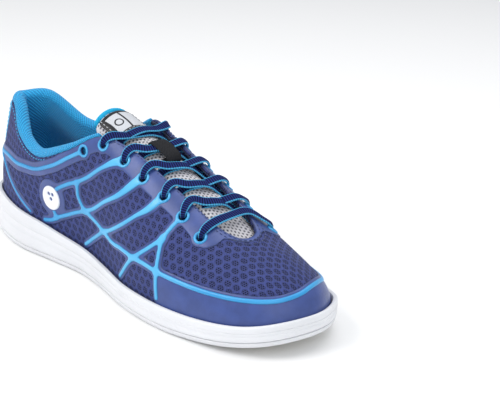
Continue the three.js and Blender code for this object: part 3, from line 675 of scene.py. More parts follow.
def print_finish(name, light, deep):
    """Raised print: lighter along the middle of the side, deeper towards its ends and edges."""
    f = Finish(name, light, 0.36, Coat_Weight=0.2, Coat_Roughness=0.3)
    where = f.space()
    x, _, _ = f.axes(where)
    run = f.noise(where, 26.0, 1.0)
    glow = f.span(abs(x - 18.0), 10.0, 90.0, 0.75, 0.0) + f.span(run, 0.35, 0.65, 0.0, 0.25)
    tint = f.blend(f.span(f.mark("inset"), 0.0, 0.5), shade(deep, 0.75), f.blend(glow, deep, light))
    f.relief(f.noise(where, 0.8), 0.08)
    return f.paint(tint, f.between(f.noise(where, 3.0), 0.3, 0.45))


def rib_knit_finish(name, light, deep, pitch=1.25):
    """Brushed lining knit: diagonal ribs of small loops, with painted shade in the dips between them."""
    f = Finish(name, light, 0.82, Sheen_Weight=0.15, Sheen_Roughness=0.4)
    u, v, _ = f.axes(f.space("UV"))
    height = f.wave(u + v * 0.75, pitch * 1.5) * 0.6 + f.wave(v - u * 0.5, pitch) * 0.4
    drift = f.between(f.noise(f.space(), 12.0))
    f.relief(height, 0.28)
    # painted shade: the low parts of the ribs take the deep colour, the high parts the light colour
    tint = f.blend(f.span(height, -0.8, 0.9), deep, light)
    return f.paint(f.blend(drift * 0.25, tint, shade(light, 0.8)))


def weave_finish(name, colour, pitch, depth=0.2):
    """Plain woven tape."""
    f = Finish(name, colour, 0.8, Specular_IOR_Level=0.2)
    u, v, _ = f.axes(f.space("UV"))
    cross = f.wave(u, pitch) * f.wave(v, pitch)
    f.relief(cross, depth)
    return f.paint(f.blend(f.span(cross, -0.8, 0.8), shade(colour, 0.7), shade(colour, 1.2)))


def thread_finish(name, colour):
    """Twisted sewing thread."""
    f = Finish(name, colour, 0.6, Sheen_Weight=0.3)
    twist = f.noise(f.space(), 0.3)
    f.relief(twist, 0.05)
    return f.paint(f.blend(twist, shade(colour, 0.7), shade(colour, 1.25)))


def lace_finish(name, navy, edge, width):
    """Flat ribbed lace with a bright thread along each edge."""
    f = Finish(name, navy, 0.85, Specular_IOR_Level=0.15)
    u, v, _ = f.axes(f.space("UV"))
    rib = f.wave(u, LACE_RIB)
    near_edge = f.span(abs(v), width * 0.5 - 0.8, width * 0.5 - 0.5)
    body = f.blend(f.span(rib, -0.7, 0.9), shade(navy, 0.45), shade(navy, 2.6))
    bright = f.blend(f.span(rib, -0.9, 0.6), shade(edge, 0.7), edge)
    f.relief(rib * 0.8 + f.wave(v, 0.8) * 0.2, 0.3)
    return f.paint(f.blend(near_edge, body, bright))


def spacer_finish(name, pale, dark):
    """Thick spacer mesh: pale rounded ribs round dark open cells; the cells' dark colour is painted shade."""
    f = Finish(name, pale, 0.8, Sheen_Weight=0.25)
    u, v, _ = f.axes(f.space("UV"))
    thread = f.wave(u + v, 0.55)
    drift = f.noise(f.space(), 4.0, 3.0)
    yarn = f.blend(f.span(thread, -0.9, 0.9), shade(pale, 0.82), pale)
    yarn = f.blend(f.span(drift, 0.35, 0.75, 0.0, 0.5), yarn, shade(pale, 0.75))
    f.relief(thread * 0.5, 0.12)
    # painted shade: the sunk cells take the dark colour
    return f.paint(f.blend(f.span(f.mark("cell"), 0.35, 0.8), yarn, dark))


def pearl_finish(name, colour, edge, heart):
    """Pearly film of the emblems, greyer at its edge."""
    f = Finish(name, colour, 0.34, Coat_Weight=0.3)
    fine = f.noise(f.space(), 0.5)
    f.relief(fine, 0.05)
    return f.paint(f.blend(f.span(f.mark("inset"), 0.0, 0.4), edge, heart), f.between(fine, 0.28, 0.4))


def patch_finish(name, border):
    """Rippled silver film with a coloured border."""
    f = Finish(name, (0.6, 0.64, 0.72), 0.3, Coat_Weight=0.35, Metallic=0.25)
    where = f.space()
    ripple = f.noise(where, 6.0)
    silver = f.blend(f.between(ripple), (0.56, 0.6, 0.68), (0.64, 0.67, 0.74))
    f.relief(f.noise(where, 0.6), 0.06)
    return f.paint(f.blend(f.span(f.mark("inset"), 1.0, 1.4), border, silver), f.between(ripple, 0.25, 0.4))


def label_finish(name, silver, black):
    """Black film with two silver panels, a curved gap between them and a ring on the first."""
    f = Finish(name, black, 0.45, Coat_Weight=0.05, Specular_IOR_Level=0.25)
    u, v, _ = f.axes(f.space("UV"))
    across = v + u * u * 0.012

    def within(half, value):
        return f.math("SUBTRACT", half, abs(value))

    panel = f.math("MAXIMUM", within(4.6, across + 5.6), within(4.9, across - 5.2))
    panel = f.math("MINIMUM", within(7.6, u), panel)
    ball = f.math("SQRT", u * u + (across + 5.6) * (across + 5.6))
    ring = within(0.45, ball - 2.6)
    drawn = f.span(panel, -0.1, 0.15) * f.span(ring, 0.15, -0.1)
    grain = f.noise(f.space(), 0.6)
    f.relief(drawn, 0.25)
    silvered = f.blend(f.between(grain), shade(silver, 0.88), silver)
    return f.paint(f.blend(drawn, black, silvered), f.between(grain, 0.32, 0.46))


# ---------------------------------------------------------------- lines of the print and film
def foot(t):
    """Place where a line meets the sole's edge."""
    return [t, float(rim(np.array(t))) + 0.02]


# Each line: whether it starts at an eyelet, then its places (t, s) on the arch side.
WEB = [
    (1, [[6.77, 0.83], [6.45, 0.78], [6.05, 0.72], [5.6, 0.68], [5.2, 0.67], [4.85, 0.66], [4.5, 0.62],
         [4.25, 0.55]]),
    (0, [[5.14, 0.66], [5.08, 0.54], [5.19, 0.42]]),
    (0, [[4.18, 0.45], [4.18, 0.36], [4.2, 0.28]]),
    (1, [[7.39, 0.8], [7, 0.67], [6.57, 0.57], [6, 0.49], [5.56, 0.44], [5.19, 0.42], [4.79, 0.38],
         [4.33, 0.3], [4.05, 0.22], foot(3.8)]),
    (0, [[5.19, 0.42], [5.5, 0.36], [5.92, 0.3], [6.29, 0.27], [6.74, 0.28], [7.24, 0.28], [7.62, 0.29],
         [8.01, 0.29]]),
    (1, [[8.06, 0.8], [7.68, 0.64], [7.32, 0.54], [6.87, 0.44], [6.26, 0.34], [5.92, 0.3], [5.41, 0.21],
         foot(5.08)]),
    (1, [[8.69, 0.77], [8.39, 0.63], [8.15, 0.52]]),
    (0, [[8.15, 0.52], [7.91, 0.45], [7.61, 0.37], [7.24, 0.28], [7, 0.21], foot(6.7)]),
    (0, [[8.15, 0.52], [8.08, 0.44], [8.03, 0.35], [8, 0.29], [8, 0.2], foot(8.02)]),
]
COLLAR_LINES = [
    (0, [[5.49, 0.9], [5.09, 0.91], [4.63, 0.88], [4.16, 0.85], [3.54, 0.75], [2.8, 0.61], [2, 0.51],
         [1.2, 0.465], [0.7, 0.46]]),
]
HEEL_LINE = [(0, [[0.7, 0.5], [1.1, 0.475], [1.6, 0.44], [2.2, 0.37], [2.9, 0.25], foot(3.35)])]
TOE_LINE = [
    [8.0, 0.29], [8.6, 0.3], [9.28, 0.31], [9.94, 0.32], [10.5, 0.32], [11, 0.31], [11.55, 0.3], [12.2, 0.32],
    [12.8, 0.35], [13.4, 0.34], [14, 0.3], [14.6, 0.3], [15.5, 0.3], [16.6, 0.29],
]
# Lower edge of the film along the throat, arch side.
BAND = [
    [4.95, 0.95], [5.3, 0.85], [6.09, 0.83], [6.77, 0.75], [7.39, 0.72], [8.06, 0.71], [8.69, 0.69],
    [9.29, 0.63], [9.75, 0.72], [10.3, 0.88], [11.0, 0.93], [12.6, 0.94],
]


def distance_to(points, line, widths):
    """Half width less distance to a polyline, at each point; positive on the line."""
    best = np.full(len(points), -FAR)
    for k in range(len(line) - 1):
        a, d = line[k], line[k + 1] - line[k]
        near = np.flatnonzero(np.abs(points - (a + d / 2)).max(1) < 18 + np.linalg.norm(d))
        if not len(near):
            continue
        rel = points[near] - a
        f = np.clip(rel @ d / max(d @ d, 1e-9), 0, 1)
        gap = np.linalg.norm(rel - f[:, None] * d, axis=1)
        best[near] = np.maximum(best[near], mix(widths[k], widths[k + 1], f) / 2 - gap)
    return best


def soft_max(a, b, reach):
    """The larger of two fields, rounded where they meet."""
    h = np.maximum(reach - np.abs(a - b), 0) / reach
    return np.maximum(a, b) + h * h * reach / 4


def side_fields(t, s, side):
    """Fields of the print and of the film, in mm from their edges, over a grid of (t, s)."""
    points = face(t, s).reshape(-1, 3)
    arch = side == "arch"

    def shifted(at):
        return float(at if arch else outer_side(at))

    def drawn(lines, reach, width=PRINT_W):
        field = np.full(len(points), -FAR)
        for at_eye, at in lines:
            path = spline([[shifted(a), b] for a, b in at], 10 * len(at))
            u = np.linspace(0, 1, len(path))
            wide = mix(EYE_PRINT, width, smooth(u * 3)) if at_eye else np.full(len(path), width)
            field = soft_max(field, distance_to(points, face(*path.T), wide), reach)
        return field

    stripe = drawn(COLLAR_LINES, 2.0)
    lines = soft_max(soft_max(drawn(WEB, 2.6), stripe, 1.0), drawn(HEEL_LINE, 1.0, HEEL_LINE_W), 0.6)
    toe = spline(TOE_LINE, 150)
    lines = soft_max(lines, distance_to(points, face(*toe.T), np.full(len(toe), PRINT_W)), 2.2)
    eye_gap = eyelet_gap(points, EYE_M if arch else EYE_L)
    lines = soft_max(lines, RING_R - eye_gap, 1.2)
    to_emblem = np.linalg.norm(points - face(shifted(EMBLEM_AT[0]), EMBLEM_AT[1]), axis=1)

    length = np.linalg.norm(np.diff(face(t, s), axis=1), axis=2)
    climb = np.concatenate([np.zeros((len(t), 1)), np.cumsum(length, 1)], 1)

    def above(height):
        at = np.array([np.interp(h, column, rise) for h, column, rise in zip(height, s, climb)])
        return (climb - at[:, None]).ravel()

    arch_t = t if arch else np.interp(t, ACROSS[::-1, 1], ACROSS[::-1, 0])
    band = np.minimum(above(table(arch_t[:, 0], BAND)), ((arch_t - BAND[0][0]) * STATION_MM).ravel())
    cap_ends = np.minimum(t - 8.0, 16.62 - t) * STATION_MM
    cap = np.minimum(-above(np.interp(t[:, 0], *toe.T)), cap_ends.ravel())
    film = np.maximum(lines + FILM_BORDER, band)
    film = soft_max(film, stripe + STRIPE_BORDER, 1.5)
    film = soft_max(film, EMBLEM_GROUND - to_emblem, 3.0)
    film = np.maximum(film, cap)
    limits = np.minimum((s - rim(t) + 0.05) * 60.0, (TOP_EDGE - s) * 40.0).ravel()
    limits = np.minimum(limits, eye_gap - EYELET_R)
    lines = np.minimum(np.minimum(lines, to_emblem - EMBLEM_R - GAP), limits)
    return lines.reshape(t.shape), np.minimum(film, limits).reshape(t.shape)


def rounded(low, high, radius):
    """Height profile: low at the very edge, rising to high within radius."""
    return lambda inset, _: mix(low, high, np.sqrt(1 - (1 - np.clip(inset / radius, 0, 1)) ** 2))


def level(value):
    return lambda inset, _: np.full(len(inset), value)


# ---------------------------------------------------------------- settings
def tone(name, description, value):
    return bpy.props.FloatVectorProperty(
        name=name, description=description, default=value, subtype="COLOR", min=0, max=1, size=3)


def measure(name, description, value, least):
    return bpy.props.FloatProperty(
        name=name, description=description, default=value, unit="LENGTH", min=least)


class ShoeSettings(bpy.types.PropertyGroup):
    """Sizes and colours of the shoe."""

    knit: tone("Knit", "Ridges of the mesh upper", (0.045, 0.062, 0.215))
    # painted shade: colour of the open cells, standing for the navy lining seen in shade through them
    knit_hole: tone("Knit cells", "Open cells of the mesh upper", (0.005, 0.007, 0.035))
    film: tone("Film", "Welded film on the upper", (0.036, 0.068, 0.25))
    line_light: tone("Line, light", "Lighter end of the raised lines", (0.1, 0.5, 0.84))
    line_deep: tone("Line, deep", "Deeper end of the raised lines", (0.01, 0.28, 0.64))
    lining: tone("Lining", "Collar and tongue lining", (0.02, 0.46, 0.86))
    lining_deep: tone("Lining, deep", "Shadowed loops of the lining", (0.006, 0.2, 0.5))
    sole: tone("Sole", "Foam sole", (0.79, 0.8, 0.83))
    lace: tone("Lace", "Body of the lace", (0.007, 0.014, 0.08))
    tongue: tone("Tongue", "Spacer mesh of the tongue", (0.8, 0.78, 0.82))
    cell_pitch: measure("Cell pitch", "Spacing of the upper's open cells", 0.0014, 0.001)
    stitch_length: measure("Stitch length", "Length of one stitch", 0.0022, 0.0005)
    stitch_pitch: measure("Stitch pitch", "Spacing of the stitches", 0.0029, 0.0008)
    stitch_width: measure("Thread width", "Width of the thread", 0.00055, 0.0001)
    lace_width: measure("Lace width", "Width of the flat lace", 0.006, 0.002)


def settings():
    return bpy.context.scene.shoe_settings


def finish_with(obj, body, material, replaces=()):
    """Gives a piece its finish and its body, and hides the CAD nodes it stands for."""
    obj.data.materials.clear()
    obj.data.materials.append(material)
    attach(obj, body)
    if replaces:
        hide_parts(*replaces)
    return obj


def repaint(node, material):
    mesh = frame["nodes"][node].data
    mesh.materials.clear()
    mesh.materials.append(material)


# ---------------------------------------------------------------- pieces
class SHOE_OT_stage(bpy.types.Operator):
    """Pale floor, soft studio light and the camera"""

    bl_idname = "shoe.stage"
    bl_label = "Stage"

    def execute(self, context):
        scene = context.scene
        ground = float(CAD_BOX[0][2])
        half = 8.0
        mesh = bpy.data.meshes.new("studio_floor")
        corners = ((-half, -half), (half, -half), (half, half), (-half, half))
        mesh.from_pydata([(x, y, ground) for x, y in corners], [], [(0, 1, 2, 3)])
        floor = placed("studio_floor", mesh)
        paper = Finish("studio_paper", (0.93, 0.93, 0.93), 0.9)
        grain = paper.noise(paper.space(), 1.2)
        mesh.materials.append(paper.paint(paper.blend(grain, (0.92, 0.92, 0.92), (0.94, 0.94, 0.94))))

        scene.view_settings.view_transform = "Standard"
        world = bpy.data.worlds.new("studio_world")
        scene.world = world
        world.use_nodes = True
        sky = world.node_tree.nodes["Background"]
        sky.inputs["Color"].default_value = (0.95, 0.97, 1.0, 1)
        sky.inputs["Strength"].default_value = 0.62
        lit = Vector((0, 0, 0.03))
        for name, place, size, power, tint in (
            ("key_light", (-0.35, -0.75, 0.95), 0.7, 7.5, (1.0, 0.98, 0.95)),
            ("fill_light", (0.95, -0.45, 0.6), 0.9, 2.6, (0.94, 0.97, 1.0)),
            ("top_light", (0.1, 0.35, 1.15), 1.0, 5.5, (1.0, 1.0, 1.0)),
        ):
            lamp = bpy.data.lights.new(name, "AREA")
            lamp.energy, lamp.size, lamp.color = power, size, tint
            obj = placed(name, lamp)
            obj.location = place
            obj.rotation_euler = (lit - Vector(place)).to_track_quat("-Z", "Y").to_euler()

        azimuth, elevation, reach = math.radians(48.38), math.radians(21.17), 720.66
        looked_at = np.array([138.0, 0.0, 40.0])
        right = np.array([math.cos(azimuth), math.sin(azimuth), 0.0])
        away = np.array([math.sin(azimuth) * math.cos(elevation), -math.cos(azimuth) * math.cos(elevation),
                         math.sin(elevation)])
        up = np.cross(away, right)
        place = (looked_at + away * reach - ORIGIN) * MM
        aim = unit(-away + 0.08488 * right + 0.01338 * up)
        across = unit(np.cross(aim, up))
        lens = bpy.data.cameras.new("camera")
        lens.lens, lens.sensor_width = 85.04, 36.0
        lens.clip_start, lens.clip_end = 0.02, 20.0
        camera = placed("camera", lens)
        columns = np.column_stack([across, np.cross(across, aim), -aim, place])
        camera.matrix_world = Matrix([*columns.tolist(), (0, 0, 0, 1)])
        scene.camera = camera
        return {"FINISHED"}


class SHOE_OT_sole(bpy.types.Operator):
    """Foam cup sole, outsole, slide pad, heel pad and shank"""

    bl_idname = "shoe.sole"
    bl_label = "Sole"

    def execute(self, context):
        s = settings()

        def base(h):
            return lambda x: sole_low(x) + PAD_PROUD + h

        def wall(f):
            return lambda x: mix(base(OUTSOLE)(x), sole_top(x), f)

        def edge(h):
            return lambda x: sole_top(x) + h

        def groove(at, depth, half):
            return [(0.0, wall(at - half)), (depth, wall(at)), (0.0, wall(at + half))]

        cup = [
            (RIM + 6, wall(0.0)), (0.9, wall(0.0)), (0.35, wall(0.03)), (0.1, wall(0.08)), (0.0, wall(0.2)),
            *groove(0.38, 0.12, 0.02), *groove(0.6, 0.3, 0.03),
            (0.0, wall(0.8)), (0.1, wall(0.93)), (0.5, edge(-0.1)), (1.1, edge(0.1)), (RIM - 0.5, edge(-0.1)),
            (RIM, edge(-0.9)), (RIM, cup_floor), (RIM + 6, cup_floor),
        ]
        finish_with(slab("cup_sole", cup), SHOE, foam_finish("sole_foam", s.sole), ["midsole"])
        tread = [(1.9, base(0.0)), (0.9, base(0.5)), (0.5, base(1.2)), (0.35, base(OUTSOLE - 0.5)),
                 (0.7, base(OUTSOLE - 0.15))]
        rubber = speckled("sole_rubber", shade(s.sole, 0.96), 0.5, 0.8, 0.06, 0.05)
        finish_with(slab("tread_sole", tread), SHOE, rubber, ["outsole"])
        repaint("slide_sole_pad", nap_finish("slide_nap"))
        repaint("heel_pad", speckled("heel_rubber", (0.5, 0.51, 0.54), 0.6, 0.6, 0.12))
        repaint("shank", speckled("shank_nylon", (0.05, 0.055, 0.065), 0.45, 1.4, 0.05))
        return {"FINISHED"}


class SHOE_OT_insole(bpy.types.Operator):
    """Fibre board and the removable sock liner"""

    bl_idname = "shoe.insole"
    bl_label = "Insole"

    def execute(self, context):
        repaint("insole_board", speckled("fibre_board", (0.5, 0.4, 0.27), 0.9, 0.7, 0.2))

        def at(h):
            return lambda x: cup_floor(x) + GAP * 2 + BOARD + h

        layers = [(9.8, at(0)), (9.3, at(0.5)), (9.1, at(2.0)), (9.3, at(3.4)), (10.1, at(FOOTBED))]
        liner = slab("sock_liner", layers, nx=110, sharp=60)
        # the second colour is painted shade in the dips between the liner's ribs
        knit = rib_knit_finish("liner_knit", (0.03, 0.13, 0.34), (0.01, 0.05, 0.16), 1.6)
        finish_with(liner, SOCK, knit, ["footbed"])
        return {"FINISHED"}


class SHOE_OT_upper(bpy.types.Operator):
    """Knitted mesh panels, their stiffeners and the vamp lining"""

    bl_idname = "shoe.upper"
    bl_label = "Mesh upper"

    def execute(self, context):
        s = settings()
        knit = knit_finish("upper_knit", s.knit, s.knit_hole, s.cell_pitch / MM)

        def holed(t, h, eyes):
            return np.minimum(eyelet_gap(face(t, h), eyes) - EYELET_R, 40.0)

        seam, heel_seam = 0.0015, 0.02
        for name, node, t0, t1, eyes in (
            ("vamp_panel", "vamp_mesh", VAMP[0] + seam, VAMP[1] - seam, EYE_M[:3] + EYE_L[:2]),
            ("arch_quarter", "quarter_mesh_medial", heel_seam, VAMP[0] - seam, EYE_M),
            ("outer_quarter", "quarter_mesh_lateral", VAMP[1] + seam, STATIONS - heel_seam, EYE_L),
        ):
            t, h = grid(t0, t1, 0.0, TOP_EDGE, int((t1 - t0) * 21), 60)
            wrapped = name != "vamp_panel"
            panel = clipped_shell(name, t, h, holed(t, h, eyes), level(0.0), level(-MESH), wrapped)
            finish_with(panel, SHOE, knit, [node])
        t, h = grid(5.95, 19.05, 0.03, TOP_EDGE, 230, 44)
        lining = clipped_shell("vamp_lining_knit", t, h, holed(t, h, EYE_M + EYE_L),
                               level(-LINING_IN), level(-LINING_IN - LINING))
        # the second colour is painted shade in the dips between the lining's ribs
        navy_knit = rib_knit_finish("vamp_lining_finish", (0.02, 0.035, 0.13), (0.005, 0.01, 0.05))
        finish_with(lining, SHOE, navy_knit, ["vamp_lining"])
        board = speckled("stiffener_board", (0.6, 0.55, 0.45), 0.85, 0.9, 0.1)
        repaint("heel_counter", board)
        repaint("toe_puff", board)
        return {"FINISHED"}


class SHOE_OT_collar(bpy.types.Operator):
    """Padded collar: foam wrapped in ribbed lining knit"""

    bl_idname = "shoe.collar"
    bl_label = "Padded collar"

    def execute(self, context):
        s = settings()
        t = np.linspace(*COLLAR, 230)
        r = roll_radius(t)
        up, out = along(t, 1.0), normal(t, 1.0)
        centre = upper(t, 1.0, -r)
        uneven = 1 + 0.03 * np.sin(t * 3.1) + 0.02 * np.sin(t * 7.3 + 1)
        outside = [upper(t, h, -MESH - 0.75) for h in (0.4, 0.55, 0.7, 0.85, 0.95)]
        roll = [centre + out * (r * uneven * math.cos(a))[:, None] + up * (r * uneven * math.sin(a))[:, None]
                for a in np.linspace(0.02, 0.98, 22) * math.pi]
        inside = []
        for h in np.linspace(0.86, 0.03, 26):
            swell = 0.7 * math.sin(math.pi * min(1.0, max(0.0, (h - 0.3) / 0.6)))
            inside.append(upper(t, h, -collar_depth(t, h) - swell * uneven))
        hidden = [upper(t, h, -collar_depth(t, h) + LINING) for h in (0.03, 0.15, 0.3)]
        rings = np.stack(outside + roll + inside + hidden, 1)
        run = run_length(rings[:, len(outside) + len(roll) - 1])
        step = np.linalg.norm(np.diff(rings, axis=1), axis=2)
        girth = np.concatenate([np.zeros((len(t), 1)), np.cumsum(step, 1)], 1)
        uv = spread_uv(run[:, None], girth, girth.shape)
        for end in (0, -1):
            rings[end] = mix(rings[end], rings[end].mean(0), 0.03)
        collar = rings_mesh("collar_padding", rings, uv)
        finish_with(collar, SHOE, rib_knit_finish("collar_knit", s.lining, s.lining_deep),
                    ["collar_lining", "collar_foam"])
        return {"FINISHED"}


def upper_fields():
    """Grid over the whole upper with the print's and the film's fields on it."""
    halves = []
    for side, t0, t1, nt in (("arch", 0.88, TOE, 400), ("outer", TOE, 22.4, 330)):
        t, s = grid(t0, t1, 0.03, 0.99, nt, 92)
        halves.append((t, s, *side_fields(t, s, side)))
    return [np.concatenate([a, b[1:]]) for a, b in zip(*halves)]


class SHOE_OT_film(bpy.types.Operator):
    """Welded film and the raised lines printed on it"""

    bl_idname = "shoe.film"
    bl_label = "Film and lines"

    def execute(self, context):
        s = settings()
        t, h, lines, film = upper_fields()
        skin = clipped_shell("welded_film", t, h, film, rounded(0.02, FILM_TOP, 0.8), level(-0.15))
        finish_with(skin, SHOE, film_finish("film_navy", s.film, shade(s.film, 0.45)),
                    ["eyestay_medial", "eyestay_lateral", "toe_cap"])
        raised = clipped_shell("raised_lines", t, h, lines, rounded(FILM_TOP - 0.05, PRINT_TOP, 1.0),
                               level(0.3))
        finish_with(raised, SHOE, print_finish("line_print", s.line_light, s.line_deep),
                    ["web_medial", "web_lateral", "collar_stripe_medial", "collar_stripe_lateral", "toe_stripe",
                     "ring_1_medial", "ring_6_medial", "ring_1_lateral", "ring_6_lateral"])
        return {"FINISHED"}


class SHOE_OT_trim(bpy.types.Operator):
    """Ball emblems on both sides and the heel patch"""

    bl_idname = "shoe.trim"
    bl_label = "Emblems and heel patch"

    def execute(self, context):
        s = settings()
        white = pearl_finish("emblem_white", (0.86, 0.88, 0.92), (0.6, 0.66, 0.76), (0.88, 0.9, 0.94))
        h0 = EMBLEM_AT[1]
        for name, node, t0 in (("emblem_arch", "emblem_medial", EMBLEM_AT[0]),
                               ("emblem_outer", "emblem_lateral", float(outer_side(EMBLEM_AT[0])))):
            t, h = grid(t0 - 0.42, t0 + 0.42, h0 - 0.2, h0 + 0.2, 60, 60)
            points, centre, n = face(t, h), face(t0, h0), normal(t0, h0)
            side = unit(np.cross(n, [0.0, 0.0, 1.0]))
            lift = np.cross(side, n)
            inside = EMBLEM_R - np.linalg.norm(points - centre, axis=-1)
            for a, b in BALL_HOLES:
                hole = np.linalg.norm(points - (centre + side * a + lift * b), axis=-1)
                inside = np.minimum(inside, hole - BALL_HOLE_R)
            disc = clipped_shell(name, t, h, inside, rounded(FILM_TOP, PRINT_TOP + 0.1, 0.9), level(0.3))
            finish_with(disc, SHOE, white, [node])
        t, h = grid(-0.62, 0.87, 0.38, 0.975, 70, 90)
        inside = np.minimum((0.725 - np.abs(t - 0.125)) * 18, np.minimum((h - 0.4) * 70, (0.965 - h) * 70))
        heel = clipped_shell("heel_patch_film", t, h, inside, rounded(0.1, 0.95, 0.9), level(-0.1))
        pearl = patch_finish("heel_patch_pearl", s.line_light)
        finish_with(heel, SHOE, pearl, ["heel_patch"])
        return {"FINISHED"}


def tongue_sheet(name, x0, x1, half, high, low, nx, ny, cells=None):
    """Sheet along the tongue with rounded edges; cells is the pitch of sunk open cells on its face."""
    x = np.linspace(x0, x1, nx)
    end = np.minimum(x - x0, x1 - x) / 2.2
    close = np.sqrt(np.clip(1 - (1 - np.clip(end, 0, 1)) ** 2, 0.0, 1))
    side = np.sin(np.linspace(-0.5, 0.5, ny) * math.pi)
    lift = (1 - np.abs(side) ** 5) ** 0.2
    mid, thick = (high + low) / 2, (high - low) / 2
    squash = 0.82
    rings, marks = [], []
    for xx, shut in zip(x, close):
        w = float(half(xx)) * (0.93 + 0.07 * shut)
        y = side * w
        grow = lift * (0.15 + 0.85 * shut)
        front, back = mid + thick * grow, mid - thick * grow
        cell = np.zeros(ny)
        if cells:
            u, v = xx / cells, y / (cells * squash)
            odd = np.round(v) % 2 * 0.5
            near = np.hypot((u + odd) - np.round(u + odd), (v - np.round(v)) * squash)
            cell = smooth((0.37 - near) / 0.17) * smooth((w - 1.2 - np.abs(y)) / 0.8)
            raised = 2.2 * smooth((xx - 178) / 14) * smooth(np.abs(y) / 12) * shut
            front = front + raised - 0.45 * cell
        rings.append(np.concatenate([tongue_point(xx, y, front), tongue_point(xx, y[::-1], back[::-1])]))
        marks.append(np.concatenate([cell, np.zeros(ny)]))
    rings = np.array(rings)
    arc = run_length(rings[:, ny // 2])
    uv = spread_uv((arc - arc[-1] / 2)[:, None], rings[..., 1], rings.shape[:2])
    m = 2 * ny
    cap = [[a, a + 1, m - 2 - a, m - 1 - a] for a in range(ny - 1)]
    return rings_mesh(name, rings, uv, {"cell": np.array(marks).ravel()}, cap=cap)


def edge_tape(name):
    """Round binding across the top end of the tongue."""
    across = np.linspace(-1, 1, 46)
    y = across * tongue_half(TONGUE_X[0]) * 0.97
    angle = np.linspace(0, 2 * math.pi, 20, endpoint=False)
    ends = np.sqrt(np.clip(1 - np.abs(across) ** 8, 0.12, 1))
    middle_x, half_long, half_tall = TONGUE_X[0] - 1.6, 2.3, 3.5
    rings = np.array([
        tongue_point(middle_x + half_long * k * np.cos(angle), yy,
                     half_tall * k * np.sin(angle) - TONGUE_THICK / 2) for yy, k in zip(y, ends)])
    return rings_mesh(name, rings, spread_uv(y[:, None], angle * 3.0, rings.shape[:2]))


def keeper_loop(name):
    """Flat tape loop that stands up from the tongue, sewn down at both ends."""
    x0, x1, half_wide, half_thick, top = 141.5, 159.0, 4.6, 0.48, 4.9
    rise = [(5, 0.35), (1.6, 0.5), (0, 1.6), (0.4, 3.2), (3.2, top)]
    loop = [(x0 + dx, z) for dx, z in rise] + [((x0 + x1) / 2, top + 0.4)]
    loop += [(x1 - dx, z) for dx, z in reversed(rise)]
    path = spline(loop, 70)
    way = unit(np.gradient(path, axis=0))
    out = np.stack([-way[:, 1], way[:, 0]], 1)
    upper_half = [(-1, 0), (-0.94, 0.42), (-0.5, half_thick), (0.5, half_thick), (0.94, 0.42), (1, 0)]
    section = upper_half + [(a, -b) for a, b in reversed(upper_half[1:-1])]
    rings = np.array([[tongue_point(p[0] + o[0] * b, a * half_wide, p[1] + o[1] * b) for a, b in section]
                      for p, o in zip(path, out)])
    uv = spread_uv(np.arange(len(path))[:, None] * 0.55, [a * half_wide for a, _ in section], rings.shape[:2])
    return rings_mesh(name, rings, uv, sharp=60)


class SHOE_OT_tongue(bpy.types.Operator):
    """Tongue, its label, top binding and lace keeper"""

    bl_idname = "shoe.tongue"
    bl_label = "Tongue"

    def execute(self, context):
        s = settings()
        tongue = tongue_sheet("tongue_pad", *TONGUE_X, tongue_half, 0.0, -TONGUE_THICK, 250, 108, cells=2.4)
        # the second colour is painted shade in the tongue's sunk cells
        spacer = spacer_finish("tongue_spacer", s.tongue, (0.1, 0.1, 0.13))
        finish_with(tongue, SHOE, spacer,
                    ["tongue_face", "tongue_foam", "tongue_back", "tongue_top_pad"])
        tongue.parent = None
        del tongue["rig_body"]

        def at(x):
            return tuple((np.array([x, 0.0, float(tongue_top_z(x, 0.0))]) - ORIGIN) * MM)

        at(140.0)
        at(126.5)
        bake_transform(tongue)
        label = tongue_sheet("tongue_badge", TONGUE_X[0] + 2.0, 126.0, lambda x: 13.2, 0.95, 0.05, 60, 40)
        finish_with(label, TONGUE_TOP, label_finish("badge_film", (0.6, 0.62, 0.66), (0.012, 0.013, 0.017)),
                    ["tongue_label"])
        blue_tape = weave_finish("edge_tape", shade(s.lining, 1.1), 1.1)
        finish_with(edge_tape("tongue_edge_tape"), TONGUE_TOP, blue_tape, ["tongue_binding"])
        black_tape = weave_finish("keeper_tape", (0.02, 0.021, 0.025), 1.0, 0.3)
        finish_with(keeper_loop("lace_loop"), SHOE, black_tape, ["lace_keeper"])
        return {"FINISHED"}


# ---------------------------------------------------------------- lace route, as in the CAD
LACE_H = 1.5
LACE_RIB = 1.5
ABOVE = 2.55
BELOW = MESH + 2.0 + LACE_H / 2 + 0.4
OVER_TONGUE = 1.55
CROSSED = 3.45
# Share of its width and thickness of the lace where a hole gathers it.
BUNCHED = (0.45, 2.1)


def stop(place, way, w=1.0, h=LACE_H):
    """A place on the lace's route: position, the way its flat side faces, width as a share, thickness."""
    return np.concatenate([place, unit(np.asarray(way, float)), [w, h]])


def through_hole(eye, sign):
    t, s = eye
    m = -sign * along(t, s)
    return [stop(upper(t, s, ABOVE), m, 0.5, 1.9), stop(upper(t, s, -0.6), m, *BUNCHED),
            stop(upper(t, s, -BELOW * 0.9), m, *BUNCHED)]


def crossing(a, beyond, b, before, height, sign):
    te, tb = mix(a[0], beyond[0], 0.42), mix(before[0], b[0], 0.66)
    start, end = upper(te, 1.0, -BELOW), upper(tb, 1.0, ABOVE)

    def lean(f, h):
        p = mix(start, end, f)
        place = tongue_point(p[0], p[1], h)
        return place + np.array([0, 0, max(0.0, p[2] + 0.3 - place[2])])

    def up(f):
        p = mix(start, end, f)
        return sign * (tongue_point(p[0], p[1], 1) - tongue_point(p[0], p[1], 0))

    stay = 0.72
    return [
        stop(upper(mix(a[0], te, 0.6), mix(a[1], 1, 0.45), -BELOW), sign * normal(te, 0.95), 0.7, 1.6),
        stop(start, sign * normal(te, 1.0)),
        stop(lean(1 - stay, height), up(1 - stay)),
        stop(lean(0.5, height), up(0.5)),
        stop(lean(stay, height), up(stay)),
        stop(end, sign * normal(tb, 1.0)),
        stop(upper(mix(tb, b[0], 0.6), mix(1, b[1], 0.5), ABOVE + 0.2), sign * normal(b[0], b[1]), 0.9),
    ]


